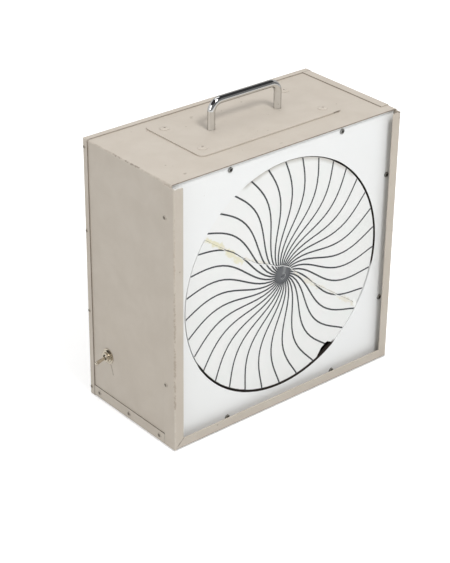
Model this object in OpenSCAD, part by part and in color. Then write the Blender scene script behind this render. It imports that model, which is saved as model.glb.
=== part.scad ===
// Demonstration box: a small gearmotor turns a disc of S-curved rays in the round window of a sheet-metal case.
// X runs to the right, Y from the front into the box, Z up. The origin is the middle of the underside.

/* [Casing] */
// Outer width of the folded casing
box_w = 350; // [320:1:420]
// Outer height of the folded casing
box_h = 350; // [330:1:420]
// Depth from the casing's front edges to the outside of the rear cover
box_d = 166; // [150:1:220]
// Thickness of the casing's sheet
sheet_t = 1.2; // [0.9:0.1:1.5]
// Outside radius of every fold
fold_r = 2.2; // [1.8:0.1:2.6]
// How far the right side laps over the top
top_lap_w = 13; // [9:0.5:16]
// How far the bottom laps up the left side
side_lap_h = 15; // [12:0.5:18]
// Front end of both laps, behind the casing's front edges
lap_setback = 14; // [13.8:0.1:20]
// Gap between sheets that meet edge to face
sheet_gap = 0.2; // [0.1:0.05:0.4]

/* [Front frame] */
// How far the frame stands ahead of the casing's front edges
lip_stand = 6.4; // [5.5:0.1:12]
// Width of the frame's lip
lip_w = 13; // [8:0.5:16]
// How far the frame's flange reaches back from the casing's front edges
frame_back = 13.6; // [11:0.1:13.6]
// Drop of the frame's open top ends below the casing's top
frame_drop = 3; // [1:0.5:8]

/* [Front panel] */
// Thickness of the panel
panel_t = 5; // [4:0.5:6]
// Depth of the panel's face behind the casing's front edges
panel_recess = 3.5; // [2:0.5:5]
// Radius of the window
window_r = 153.5; // [153:0.5:155]
// Clearance around the panel
panel_gap = 0.5; // [0.3:0.1:1]
// Distance of the panel's screws from the casing's outside
screw_inset = 8; // [7:0.5:9]
// Distance between the two screws of each edge
screw_span = 174; // [150:1:200]
// Leg of the bearer angles behind the panel
bearer_leg = 12; // [11:0.5:14]
// Thickness of the bearer angles
bearer_t = 1.2; // [1:0.1:2]

/* [Disc] */
// Clearance between the disc's rim and the window
disc_gap = 1.3; // [1.3:0.1:4]
// Thickness of the disc
disc_t = 3; // [2:0.5:4]
// Depth of the disc's face behind the panel's face
disc_recess = 1; // [0.5:0.5:5]
// Number of printed rays
ray_count = 34; // [24:1:34]
// Width of a printed ray
ray_w = 2; // [1:0.1:2]
// Thickness of the printed film
print_t = 0.15; // [0.1:0.01:0.3]
// Radius of the spot where the rays run together
spot_r = 11.5; // [11.5:0.1:16]
// Place of the rays' middle from the disc's middle: [x, z]
print_shift = [-2.9, 4.9];
// Place of the spot from the rays' middle: [x, z]
spot_shift = [1.4, -1.9];
// Turn of all the rays together, in degrees
ray_phase = -5.82; // [-6:0.01:6]
// Turn of a ray at the spot, at the three handles of its curve and at the rim, in degrees
ray_turn = [24.6, -2.6, -18, -5.6, 0];
// How far the part above the disc's crack was glued back out of place: [x, z]
upper_slip = [-0.9, 0.15];
// How far the part below the crack lies out of place: [x, z]
lower_slip = [0.7, -0.1];
// Depth of the chip broken out of the disc's rim
chip_depth = 8.5; // [1:0.5:9]
// Angle of the chip's middle below the right-hand horizontal
chip_angle = 60.7; // [0:0.1:90]
// Length of the chip along the rim
chip_len = 29.5; // [10:0.5:40]

/* [Rear cover] */
// How far the cover laps over the casing
cover_lap = 9.5; // [8:0.5:14]
// Number of screws on each side of the cover
cover_screws = 4; // [2:1:6]
// Distance of the end screws from the top and bottom
cover_screw_end = 10; // [8:0.5:20]

/* [Handle] */
// Width of the handle plate
plate_w = 221; // [205:1:240]
// Depth of the handle plate
plate_d = 108; // [95:1:115]
// Thickness of the handle plate
plate_t = 1.6; // [1:0.1:2.5]
// Corner radius of the handle plate
plate_r = 8; // [2:0.5:15]
// Distance of the plate and handle to the right of the middle
handle_x = 7.5; // [0:0.5:20]
// Distance of the plate and handle behind the middle
handle_y = 6.3; // [0:0.1:10]
// Distance between the plate's rivets from left to right
rivet_span_x = 188; // [150:1:195]
// Distance between the plate's rivets from front to back
rivet_span_y = 71; // [50:1:80]
// Diameter of the handle's bar
bar_d = 9.5; // [8:0.5:12]
// Distance between the middles of the handle's legs
handle_span = 104; // [90:1:130]
// Height of the handle above its plate
handle_h = 39; // [35:1:60]
// Radius of the handle's bends at the middle of the bar
handle_bend_r = 13; // [9:0.5:18]

/* [Switch] */
// Distance of the switch behind the casing's front edges
switch_back = 126.5; // [100:0.5:130]
// Height of the switch above the underside
switch_h = 71; // [50:1:110]
// Radius of the threaded bushing
bushing_r = 5.9; // [5:0.1:6.5]
// Length of the bushing outside the casing
bushing_out = 5.5; // [5:0.5:8]
// Radius of the washer under the nut
washer_r = 10; // [8.5:0.5:12]
// Length of the lever beyond the bushing
lever_out = 15.5; // [12:0.5:20]
// Tilt of the lever to each side of straight out, in degrees
lever_tilt = 13; // [8:1:14]

/* [Drive] */
// Teeth of both wheels
wheel_teeth = 60; // [48:1:60]
// Teeth of both pinions
pinion_teeth = 12; // [12:1:14]
// Module of the slow pair
slow_module = 1; // [0.9:0.05:1]
// Module of the fast pair
fast_module = 0.8; // [0.7:0.05:0.8]
// Play between two meshed teeth
backlash = 0.3; // [0.2:0.05:0.4]
// Radius of the output shaft
output_shaft_r = 3; // [2.5:0.1:3.4]
// Radius of the layshaft and of the rotor's shaft
thin_shaft_r = 2; // [1.5:0.1:2.2]
// Radial play of a shaft in its bearing
running_play = 0.05; // [0.03:0.01:0.08]
// Thickness of the gearbox plates
gear_plate_t = 1.5; // [1:0.1:2.5]
// Distance between the gearbox plates
gear_space = 24; // [22:0.5:28]
// Thickness of the bridge that carries the drive
bridge_t = 1.6; // [1.2:0.1:2.5]
// Height of the bridge
bridge_h = 76; // [74:1:100]
// Thickness of the stator's stack
stator_t = 18; // [12:0.5:24]
// Gap between rotor and stator
air_gap = 0.4; // [0.35:0.05:0.6]

/* [Mains inlet] */
// Distance of the inlet to the left of the middle
inlet_left = 110; // [90:1:130]
// Height of the inlet above the underside
inlet_h = 55; // [40:1:80]

/* [Hidden] */
$fn = 48;

// Places along the depth, from the front to the rear
front_y = -box_d / 2;
lip_y = front_y - lip_stand;
rear_y = box_d / 2;
cover_in_y = rear_y - sheet_t;
panel_y = front_y + panel_recess;
panel_rear_y = panel_y + panel_t;
disc_r = window_r - disc_gap;
disc_y = panel_y + disc_recess;
disc_rear_y = disc_y + disc_t;
pad_t = 0.8;
hub_y = disc_rear_y + pad_t;
hub_flange_t = 3.5;
hub_len = 18;
bridge_y = hub_y + hub_len + 9;
gearbox_y = bridge_y + bridge_t;
gears_y = gearbox_y + gear_plate_t;
gears_rear_y = gears_y + gear_space;
gearbox_rear_y = gears_rear_y + gear_plate_t;
strap_t = 1.5;
front_strap_y = gearbox_rear_y + 5.5;
stator_y = front_strap_y + strap_t + 4.5;
stator_rear_y = stator_y + stator_t;
rear_strap_y = stator_rear_y + 5;
shell_rear_y = cover_in_y - fold_r + sheet_t;

// Places across the width and height
side_x = box_w / 2;
inner_x = side_x - sheet_t;
axis_z = box_h / 2;
lay_x = slow_module * (wheel_teeth + pinion_teeth) / 2;
rotor_x = lay_x + fast_module * (wheel_teeth + pinion_teeth) / 2;
frame_top = box_h - frame_drop;
switch_y = front_y + switch_back;

// Fasteners
hole_play = 0.1;
small_rivet_r = 1.6;
plate_rivet_r = 2.4;
panel_screw_r = 1.7;
cover_screw_r = 1.6;
handle_bolt_r = 2.5;
box_screw_r = 1.75;
motor_screw_r = 1.5;
frame_rivet_z = [box_h * 0.246, box_h * 0.876];
frame_rivet_y = front_y + 10.7;
bulb_grow = 1.3;
lap_rivet_z = side_lap_h * 0.55;
lap_rivet_y = [for (k = [0:2]) front_y + 24 + k * (box_d - 24 - 20.5) / 2];
cover_screw_y = rear_y - cover_lap / 2 + 1.2;
cover_screw_z = [for (k = [0:cover_screws - 1])
    cover_screw_end + k * (box_h - 2 * cover_screw_end) / (cover_screws - 1)];

// Places of the gearbox and motor fasteners: [x, z]
gear_plate_x0 = -slow_module * wheel_teeth / 2 - 2;
gear_plate_x1 = rotor_x + 36;
gear_plate_h = 68;
corner_inset = 6;
box_screw_places = [for (x = [gear_plate_x0 + corner_inset - 0.5, gear_plate_x1 - corner_inset],
    z = [-1, 1]) [x, axis_z + z * (gear_plate_h / 2 - corner_inset)]];
stator_h = 50;
limb_w = 15;
window_w = 13;
pole_half = 15;
stator_left = rotor_x - pole_half - window_w - limb_w;
stator_right = rotor_x + pole_half;
strap_half = 19.5;
motor_screw_places = [for (z = [-1, 1]) [rotor_x, axis_z + z * strap_half]];

function dome_r(r, rise) = (r * r + rise * rise) / (2 * rise);
function unit(v) = v / norm(v);

// Extrusions of a flat outline along each axis: the outline's own axes are the other two, in order
module along_x(x0, x1) { translate([x0, 0, 0]) rotate([90, 0, 90]) linear_extrude(x1 - x0) children(); }
module along_y(y0, y1) { translate([0, y1, 0]) rotate([90, 0, 0]) linear_extrude(y1 - y0) children(); }
module along_z(z0, z1) { translate([0, 0, z0]) linear_extrude(z1 - z0) children(); }
module rod_x(r, x0, x1, y, z) { translate([x0, y, z]) rotate([0, 90, 0]) cylinder(r = r, h = x1 - x0); }
module rod_y(r, y0, y1, x, z) { translate([x, y1, z]) rotate([90, 0, 0]) cylinder(r = r, h = y1 - y0); }
module rod_z(r, z0, z1, x, y) { translate([x, y, z0]) cylinder(r = r, h = z1 - z0); }
module block(low, high) { translate(low) cube(high - low); }

// Turn a piece drawn along +Z to face another way
module facing_front() { rotate([90, 0, 0]) children(); }
module facing_rear() { rotate([-90, 0, 0]) children(); }
module facing_left() { rotate([0, -90, 0]) children(); }
module facing_right() { rotate([0, 90, 0]) children(); }

// A folded sheet in section: the path runs along the outside and turns left by 90 degrees at each corner
module folded_sheet(path, t = sheet_t, r = fold_r) {
    last = len(path) - 1;
    for (i = [0:last - 1]) {
        run = path[i + 1] - path[i];
        start = i > 0 ? r : 0;
        finish = i < last - 1 ? r : 0;
        translate(path[i]) rotate(atan2(run.y, run.x)) {
            translate([start, 0]) square([norm(run) - start - finish, t]);
            if (i > 0) intersection() {
                square(r);
                translate([r, r]) difference() { circle(r); circle(r - t); }
            }
        }
    }
}

module round_rect(w, h, r) {
    square([w - 2 * r, h], center = true);
    square([w, h - 2 * r], center = true);
    for (x = [-1, 1], y = [-1, 1]) translate([x * (w / 2 - r), y * (h / 2 - r)]) circle(r);
}

// A low dome whose edge stands up first
module dome(r, h, edge) {
    intersection() {
        cylinder(r = r, h = h);
        translate([0, 0, h - dome_r(r, h - edge)]) sphere(dome_r(r, h - edge), $fn = 64);
    }
}

// Slotted pan-head screw: the head stands on z = 0, the shank runs down
module pan_screw(head_r, head_h, shank_r, shank_l, turn = 0) {
    difference() {
        union() {
            dome(head_r, head_h, head_h * 0.4);
            translate([0, 0, -shank_l]) cylinder(r = shank_r, h = shank_l);
        }
        rotate(turn) translate([-head_r, -head_r * 0.13, head_h * 0.5]) cube([2 * head_r, head_r * 0.26, head_h]);
    }
}

// Blind rivet through sheets of thickness grip: flange outside, swelled end inside
module blind_rivet(head_r, head_h, shank_r, grip) {
    difference() {
        dome(head_r, head_h, head_h * 0.3);
        translate([0, 0, head_h * 0.4]) cylinder(r = shank_r * 0.55, h = head_h);
    }
    translate([0, 0, -grip]) cylinder(r = shank_r, h = grip);
    translate([0, 0, -grip - shank_r * 1.8]) cylinder(r1 = shank_r * 0.9, r2 = shank_r * bulb_grow, h = shank_r * 1.8);
}

module hex_nut(across, h, bore_r) {
    difference() {
        cylinder(d = across / cos(30), h = h, $fn = 6);
        translate([0, 0, -1]) cylinder(r = bore_r, h = h + 2);
    }
}

// Copies a piece drawn along +Z to the front panel's eight screw places
module at_panel_screws() {
    for (s = [-1, 1], x = [-1, 1])
        translate([x * screw_span / 2, panel_y, axis_z + s * (box_h / 2 - screw_inset)]) facing_front() children();
    for (s = [-1, 1], z = [-1, 1])
        translate([s * (side_x - screw_inset), panel_y, axis_z + z * screw_span / 2]) facing_front() children();
}

module at_cover_screws(side) {
    for (z = cover_screw_z)
        translate([side * (side_x + sheet_t), cover_screw_y, z]) rotate([0, side * 90, 0]) children();
}

module at_frame_rivets(side) {
    for (z = frame_rivet_z)
        translate([side * (side_x + sheet_t), frame_rivet_y, z]) rotate([0, side * 90, 0]) children();
}

module at_lap_rivets() {
    for (y = lap_rivet_y) translate([-side_x - sheet_t, y, lap_rivet_z]) facing_left() children();
}

module at_plate_rivets() {
    for (x = [-1, 1], y = [-1, 1])
        translate([handle_x + x * rivet_span_x / 2, handle_y + y * rivet_span_y / 2, box_h + plate_t]) children();
}

module at_handle_legs() {
    for (x = [-1, 1]) translate([handle_x + x * handle_span / 2, handle_y, box_h + plate_t]) children();
}

module through(r, down = 8) { translate([0, 0, -down]) cylinder(r = r, h = down + 1); }

// Casing

module shell_left_top() color([0.74, 0.71, 0.66]) {
    difference() {
        along_y(front_y, shell_rear_y) folded_sheet([[side_x - fold_r, box_h], [-side_x, box_h],
            [-side_x, fold_r]]);
        at_plate_rivets() through(plate_rivet_r + hole_play);
        at_handle_legs() through(handle_bolt_r + hole_play);
        at_frame_rivets(-1) through(small_rivet_r + hole_play);
        at_lap_rivets() through(small_rivet_r + hole_play);
        at_cover_screws(-1) through(cover_screw_r + hole_play);
        rod_x(bushing_r + hole_play, -side_x - 1, -inner_x + 1, switch_y, switch_h);
    }
}

module right_bottom_section(lapped) {
    if (lapped)
        folded_sheet([[-side_x - sheet_t, side_lap_h], [-side_x - sheet_t, 0], [side_x, 0],
            [side_x, box_h + sheet_t], [side_x - top_lap_w, box_h + sheet_t]]);
    else
        folded_sheet([[-side_x, 0], [side_x, 0], [side_x, box_h + sheet_t - fold_r]]);
}

module shell_right_bottom() color([0.74, 0.71, 0.66]) {
    lap_y0 = front_y + lap_setback;
    lap_y1 = rear_y - cover_lap - sheet_gap;
    difference() {
        union() {
            along_y(front_y, lap_y0) right_bottom_section(false);
            along_y(lap_y0, lap_y1) right_bottom_section(true);
            along_y(lap_y1, shell_rear_y) right_bottom_section(false);
        }
        at_frame_rivets(1) through(small_rivet_r + hole_play);
        at_lap_rivets() through(small_rivet_r + hole_play);
        at_cover_screws(1) through(cover_screw_r + hole_play);
    }
}

// Front frame: one length of folded angle on each side and along the bottom, mitred at the corners

module frame_side(side) {
    mirror([side > 0 ? 1 : 0, 0, 0]) difference() {
        along_z(sheet_t, frame_top) folded_sheet([[-side_x - sheet_t, front_y + frame_back],
            [-side_x - sheet_t, lip_y], [-side_x - sheet_t + lip_w, lip_y]]);
        along_y(lip_y - 1, front_y - 1) polygon([[-inner_x, sheet_t - 1], [-inner_x, 3 * sheet_t + 0.2],
            [-inner_x + lip_w, 3 * sheet_t + 0.2 + lip_w], [-inner_x + lip_w, sheet_t - 1]]);
        along_y(lip_y - 1, front_y - 1) difference() {
            translate([-side_x - sheet_t + lip_w - 3, frame_top - 3]) square(4);
            translate([-side_x - sheet_t + lip_w - 3, frame_top - 3]) circle(3);
        }
    }
}

module front_frame_left() color([0.75, 0.73, 0.69]) {
    difference() {
        frame_side(-1);
        at_frame_rivets(-1) through(small_rivet_r + hole_play);
    }
}

module front_frame_right() color([0.75, 0.73, 0.69]) {
    difference() {
        frame_side(1);
        at_frame_rivets(1) through(small_rivet_r + hole_play);
    }
}

module front_frame_bottom() color([0.75, 0.73, 0.69]) {
    half = inner_x - sheet_gap;
    difference() {
        along_x(-half, half) folded_sheet([[lip_y, sheet_t + lip_w], [lip_y, sheet_t],
            [front_y + frame_back, sheet_t]]);
        for (m = [0, 1]) mirror([m, 0, 0]) along_y(lip_y - 1, lip_y + sheet_t + 0.01)
            polygon([[-inner_x - 1, 3 * sheet_t - 1], [-inner_x, 3 * sheet_t],
                [-inner_x + 2 * lip_w, 3 * sheet_t + 2 * lip_w], [-inner_x - 1, 3 * sheet_t + 2 * lip_w]]);
    }
}

// Rear cover: a tray whose left, right and top flanges lap over the casing and whose bottom one tucks in

module tray(grow) {
    r = max(fold_r - sheet_t, 0.01) + grow;
    x = side_x + grow;
    z = box_h + grow;
    intersection() {
        along_z(-1, z) folded_fill([[-x, rear_y - cover_lap - 1], [-x, cover_in_y + grow],
            [x, cover_in_y + grow], [x, rear_y - cover_lap - 1]], r);
        along_y(rear_y - cover_lap - 1, rear_y) translate([0, z / 2 - 20])
            round_rect(2 * x, z + 40, r);
        along_x(-x, x) difference() {
            translate([0, -2]) square([cover_in_y + grow, z + 2]);
            translate([cover_in_y + grow - r, z - r]) difference() { square(r + 1); circle(r); }
        }
    }
}

// The area inside a box outline whose two rear corners are round
module folded_fill(path, r) {
    difference() {
        polygon(path);
        for (s = [1, 2]) translate(path[s] + [s == 1 ? r : -r, -r]) difference() {
            translate([s == 1 ? -r - 1 : 0, 0]) square(r + 1);
            circle(r);
        }
    }
}

module rear_cover() color([0.73, 0.70, 0.65]) {
    difference() {
        union() {
            difference() {
                intersection() {
                    tray(sheet_t);
                    block([-box_w, rear_y - cover_lap, 0], [box_w, rear_y, 2 * box_h]);
                }
                tray(0);
            }
            block([-inner_x + 1, rear_y - cover_lap, sheet_t + sheet_gap],
                [inner_x - 1, cover_in_y + 0.01, 2 * sheet_t + sheet_gap]);
        }
        for (side = [-1, 1]) at_cover_screws(side) through(cover_screw_r + hole_play);
        along_y(cover_in_y - 1, rear_y + 1) translate([-inlet_left, inlet_h]) {
            round_rect(inlet_body_w + 0.6, inlet_body_h + 0.6, 2);
            for (x = [-1, 1]) translate([x * inlet_span / 2, 0]) circle(inlet_screw_r + hole_play);
        }
    }
}

cover_screw_len = 7;
module rear_cover_screws() color([0.66, 0.65, 0.62]) {
    for (side = [-1, 1]) at_cover_screws(side) pan_screw(2.3, 0.9, cover_screw_r, cover_screw_len, turn = 35);
}

// Front panel and what it is screwed to

module front_panel() color([0.91, 0.91, 0.90]) {
    half = inner_x - panel_gap;
    difference() {
        block([-half, panel_y, 2 * sheet_t + panel_gap], [half, panel_rear_y, box_h - sheet_t - panel_gap]);
        rod_y(window_r, panel_y - 1, panel_rear_y + 1, 0, axis_z, $fn = 128);
        at_panel_screws() through(panel_screw_r + hole_play, panel_t + 1);
    }
}

module front_panel_screws() color([0.70, 0.70, 0.69]) {
    at_panel_screws() pan_screw(3.5, 1.9, panel_screw_r, panel_t + bearer_t + 3, turn = 20);
}

// Clears the swelled ends of the side rivets
module rivet_notches(side) {
    for (z = frame_rivet_z) rod_x(small_rivet_r * bulb_grow + 0.4, side > 0 ? inner_x - 20 : -inner_x + bearer_t,
        side > 0 ? inner_x - bearer_t : -inner_x + 20, frame_rivet_y, z);
}

module bearer_side(side) {
    difference() {
        mirror([side > 0 ? 1 : 0, 0, 0]) along_z(2 * sheet_t + bearer_leg + 1, box_h - sheet_t - bearer_leg - 1)
            folded_sheet([[-inner_x, panel_rear_y + bearer_leg], [-inner_x, panel_rear_y],
                [-inner_x + bearer_leg, panel_rear_y]], bearer_t);
        at_panel_screws() through(panel_screw_r + hole_play, panel_t + bearer_t + 1);
        at_frame_rivets(side) through(small_rivet_r + hole_play);
        rivet_notches(side);
    }
}

module bearer_left() color([0.60, 0.61, 0.62]) { bearer_side(-1); }
module bearer_right() color([0.60, 0.61, 0.62]) { bearer_side(1); }

module bearer_top() color([0.60, 0.61, 0.62]) {
    half = inner_x - panel_gap;
    difference() {
        mirror([0, 0, 1]) along_x(-half, half) folded_sheet([
            [panel_rear_y, sheet_t - box_h + bearer_leg], [panel_rear_y, sheet_t - box_h],
            [panel_rear_y + bearer_leg, sheet_t - box_h]], bearer_t);
        at_panel_screws() through(panel_screw_r + hole_play, panel_t + bearer_t + 1);
    }
}

module bearer_bottom() color([0.60, 0.61, 0.62]) {
    half = inner_x - panel_gap;
    difference() {
        along_x(-half, half) folded_sheet([[panel_rear_y, 2 * sheet_t + bearer_leg],
            [panel_rear_y, 2 * sheet_t], [panel_rear_y + bearer_leg, 2 * sheet_t]], bearer_t);
        at_panel_screws() through(panel_screw_r + hole_play, panel_t + bearer_t + 1);
    }
}

module frame_rivets() color([0.66, 0.65, 0.62]) {
    for (side = [-1, 1]) at_frame_rivets(side) blind_rivet(3.1, 1.1, small_rivet_r, 2 * sheet_t + bearer_t);
}

module lap_rivets() color([0.66, 0.65, 0.62]) {
    at_lap_rivets() blind_rivet(3.3, 1.1, small_rivet_r, 2 * sheet_t);
}

// Handle and its plate

module handle_plate() color([0.76, 0.73, 0.68]) {
    difference() {
        along_z(box_h, box_h + plate_t) translate([handle_x, handle_y]) round_rect(plate_w, plate_d, plate_r);
        at_plate_rivets() through(plate_rivet_r + hole_play);
        at_handle_legs() through(handle_bolt_r + hole_play);
    }
}

module handle_plate_rivets() color([0.74, 0.72, 0.67]) {
    at_plate_rivets() blind_rivet(6, 1.4, plate_rivet_r, plate_t + sheet_t);
}

module carry_handle() color([0.82, 0.83, 0.84]) {
    bar_r = bar_d / 2;
    leg_top = handle_h - bar_r - handle_bend_r;
    difference() {
        union() {
            at_handle_legs() cylinder(r = bar_r, h = leg_top);
            translate([handle_x, handle_y, box_h + plate_t + leg_top]) {
                for (m = [0, 1]) mirror([m, 0, 0]) translate([handle_span / 2 - handle_bend_r, 0, 0])
                    rotate([90, 0, 0]) rotate_extrude(angle = 90) translate([handle_bend_r, 0]) circle(bar_r);
                translate([-handle_span / 2 + handle_bend_r, 0, handle_bend_r]) rotate([0, 90, 0])
                    cylinder(r = bar_r, h = handle_span - 2 * handle_bend_r);
            }
        }
        at_handle_legs() translate([0, 0, -1]) cylinder(r = handle_bolt_r, h = 15);
    }
}

module handle_bolts() color([0.55, 0.55, 0.54]) {
    at_handle_legs() {
        translate([0, 0, -plate_t - sheet_t - spreader_t - 3.5]) cylinder(d = 8 / cos(30), h = 3.5, $fn = 6);
        translate([0, 0, -plate_t - sheet_t - spreader_t]) cylinder(r = handle_bolt_r - hole_play, h = 14);
    }
}

spreader_t = 2;
module handle_spreaders() color([0.55, 0.56, 0.57]) {
    at_handle_legs() translate([0, 0, -plate_t - sheet_t - spreader_t]) difference() {
        cylinder(r = 11, h = spreader_t);
        translate([0, 0, -1]) cylinder(r = handle_bolt_r + hole_play, h = spreader_t + 2);
    }
}

// Drive

module drive_bridge() color([0.60, 0.61, 0.62]) {
    z0 = axis_z - bridge_h / 2;
    z1 = axis_z + bridge_h / 2;
    flange = 12;
    tab = 16;
    difference() {
        union() {
            along_x(-inner_x + bridge_t, inner_x - bridge_t) folded_sheet([[bridge_y + flange, z1],
                [bridge_y, z1], [bridge_y, z0], [bridge_y + flange, z0]], bridge_t);
            for (m = [0, 1]) mirror([m, 0, 0])
                block([-inner_x, bridge_y, z0 + fold_r + 2], [-inner_x + bridge_t, bridge_y + tab, z1 - fold_r - 2]);
        }
        rod_y(output_bush_r + hole_play, bridge_y - 1, gearbox_y + 1, 0, axis_z);
        for (p = box_screw_places) rod_y(box_screw_r + hole_play, bridge_y - 1, gearbox_y + 1, p.x, p.y);
        rod_y(stud_r + hole_play, bridge_y - 1, gearbox_y + 1, stud_x, axis_z);
        for (z = [-1, 1]) rod_y(block_screw_r + hole_play, bridge_y - 1, gearbox_y + 1, block_x,
            axis_z + z * block_screw_dz);
        for (x = [block_x + block_w / 2 + 15, gear_plate_x1 + 27]) along_y(bridge_y - 1, gearbox_y + 1)
            translate([x, axis_z]) round_rect(access_w, bridge_h / 2 - 2, access_w / 3);
    }
}

// Sizes of the parts that the bridge carries
output_bush_r = 6;
rear_bush_r = 5;
stud_r = 2;
stud_x = -150;
block_x = -122;
access_w = 24;
block_screw_r = 1.5;
block_screw_dz = 12;

module gear_plate(y0) {
    along_y(y0, y0 + gear_plate_t) translate([(gear_plate_x0 + gear_plate_x1) / 2, axis_z])
        round_rect(gear_plate_x1 - gear_plate_x0, gear_plate_h, 4);
}

module gearbox_front_plate() color([0.78, 0.76, 0.66]) {
    difference() {
        gear_plate(gearbox_y);
        rod_y(output_bush_r + hole_play, gearbox_y - 1, gears_y + 1, 0, axis_z);
        rod_y(thin_shaft_r + running_play, gearbox_y - 1, gears_y + 1, lay_x, axis_z);
        for (p = box_screw_places) rod_y(box_screw_r + hole_play, gearbox_y - 1, gears_y + 1, p.x, p.y);
    }
}

module gearbox_rear_plate() color([0.78, 0.76, 0.66]) {
    y0 = gears_rear_y - 1;
    y1 = gearbox_rear_y + 1;
    difference() {
        gear_plate(gears_rear_y);
        rod_y(rear_bush_r + hole_play, y0, y1, 0, axis_z);
        rod_y(thin_shaft_r + running_play, y0, y1, lay_x, axis_z);
        rod_y(fast_module * pinion_teeth / 2 + 2.2, y0, y1, rotor_x, axis_z);
        for (p = box_screw_places) rod_y(box_screw_r + hole_play, y0, y1, p.x, p.y);
        for (p = motor_screw_places) rod_y(motor_screw_r + hole_play, y0, y1, p.x, p.y);
    }
}

module sleeve(r, bore_r, y0, y1, p) {
    difference() {
        rod_y(r, y0, y1, p.x, p.y);
        rod_y(bore_r, y0 - 1, y1 + 1, p.x, p.y);
    }
}

module gearbox_spacers() color([0.72, 0.70, 0.62]) {
    for (p = box_screw_places) sleeve(3.5, box_screw_r + hole_play, gears_y, gears_rear_y, p);
}

module gearbox_screws() color([0.58, 0.58, 0.56]) {
    nut_h = 2.8;
    for (p = box_screw_places) {
        translate([p.x, bridge_y, p.y]) facing_front()
            pan_screw(3.4, 2.4, box_screw_r, gearbox_rear_y - bridge_y + nut_h + 1);
        translate([p.x, gearbox_rear_y, p.y]) facing_rear() hex_nut(6, nut_h, box_screw_r + hole_play);
    }
}

module output_bushes() color([0.72, 0.55, 0.28]) {
    bore_r = output_shaft_r + running_play;
    difference() {
        union() {
            rod_y(output_bush_r, bridge_y - 5, gears_y, 0, axis_z);
            rod_y(output_bush_r + 3, bridge_y - 2, bridge_y, 0, axis_z);
        }
        rod_y(bore_r, bridge_y - 6, gears_y + 1, 0, axis_z);
    }
    difference() {
        union() {
            rod_y(rear_bush_r, gears_rear_y, gearbox_rear_y + 3, 0, axis_z);
            rod_y(rear_bush_r + 2, gears_rear_y - 1.5, gears_rear_y, 0, axis_z);
        }
        rod_y(bore_r, gears_rear_y - 2, gearbox_rear_y + 4, 0, axis_z);
    }
}

disc_screw_r = 2;
disc_screw_len = 14;
module output_shaft() color([0.70, 0.71, 0.72]) {
    difference() {
        rod_y(output_shaft_r, disc_rear_y, gearbox_rear_y + 2, 0, axis_z);
        rod_y(disc_screw_r, disc_rear_y - 1, disc_y + disc_screw_len + 1, 0, axis_z);
    }
}

// Involute teeth with 25 degrees of pressure, thinned by the play
pressure = 25;
function involute(a) = tan(a) * 180 / PI - a;
function half_tooth(m, z, r) =
    let (rp = m * z / 2, rb = rp * cos(pressure), a = r > rb ? acos(rb / r) : 0)
    90 / z - backlash / 4 / rp * 180 / PI + involute(pressure) - involute(a);
function polar(r, a) = [r * cos(a), r * sin(a)];
function gear_outline(m, z, phase) =
    let (
        rp = m * z / 2,
        rb = rp * cos(pressure),
        root = rp - 1.25 * m,
        tip = rp + 0.9 * m,
        low = max(rb, root),
        flank = concat(rb > root ? [root] : [], [for (k = [0:4]) low + (tip - low) * k / 4]),
        n = len(flank) - 1
    )
    [for (i = [0:z - 1]) let (c = (i + phase) * 360 / z) each concat(
        [for (k = [0:n]) polar(flank[k], c - half_tooth(m, z, flank[k]))],
        [for (k = [n:-1:0]) polar(flank[k], c + half_tooth(m, z, flank[k]))])];

// A gear across y0 to y1 on an axis at x; a phase of 0.5 puts a gap on the right-hand side
module gear(m, z, phase, x, y0, y1) {
    along_y(y0, y1) translate([x, axis_z]) polygon(gear_outline(m, z, phase));
}

// A tooth faces left when the count is even, and a gap does when it is odd
function left_tooth(z) = z % 2 == 0 ? 0 : 0.5;

slow_gear_y = gears_y + 4.5;
fast_gear_y = gears_rear_y - 8;
output_boss_r = 9;
wheel_web_t = 6;
fit_play = 0.02;

module output_gear() color([0.86, 0.84, 0.76]) {
    difference() {
        union() {
            gear(slow_module, wheel_teeth, 0.5, 0, slow_gear_y, slow_gear_y + wheel_web_t);
            rod_y(output_boss_r, gears_y + 0.4, gears_rear_y - 2, 0, axis_z);
        }
        rod_y(output_shaft_r + fit_play, gears_y - 1, gears_rear_y, 0, axis_z);
        for (k = [0:5]) let (p = polar((output_boss_r + slow_module * wheel_teeth / 2) / 2, k * 60 + 30))
            rod_y(3.5, slow_gear_y - 1, slow_gear_y + wheel_web_t + 1, p.x, axis_z + p.y);
    }
}

module layshaft() color([0.70, 0.71, 0.72]) {
    rod_y(thin_shaft_r, gearbox_y + 0.3, gearbox_rear_y - 0.3, lay_x, axis_z);
}

module layshaft_gear() color([0.86, 0.84, 0.76]) {
    difference() {
        union() {
            gear(slow_module, pinion_teeth, left_tooth(pinion_teeth), lay_x, slow_gear_y - 1,
                slow_gear_y + wheel_web_t + 1);
            gear(fast_module, wheel_teeth, 0.5, lay_x, fast_gear_y, fast_gear_y + 4);
            rod_y(thin_shaft_r + 2, gears_y + 0.4, gears_rear_y - 0.4, lay_x, axis_z);
        }
        rod_y(thin_shaft_r + fit_play, gears_y - 1, gears_rear_y + 1, lay_x, axis_z);
    }
}

// Motor

rotor_r = 10;
arm_h = 10;

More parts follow.
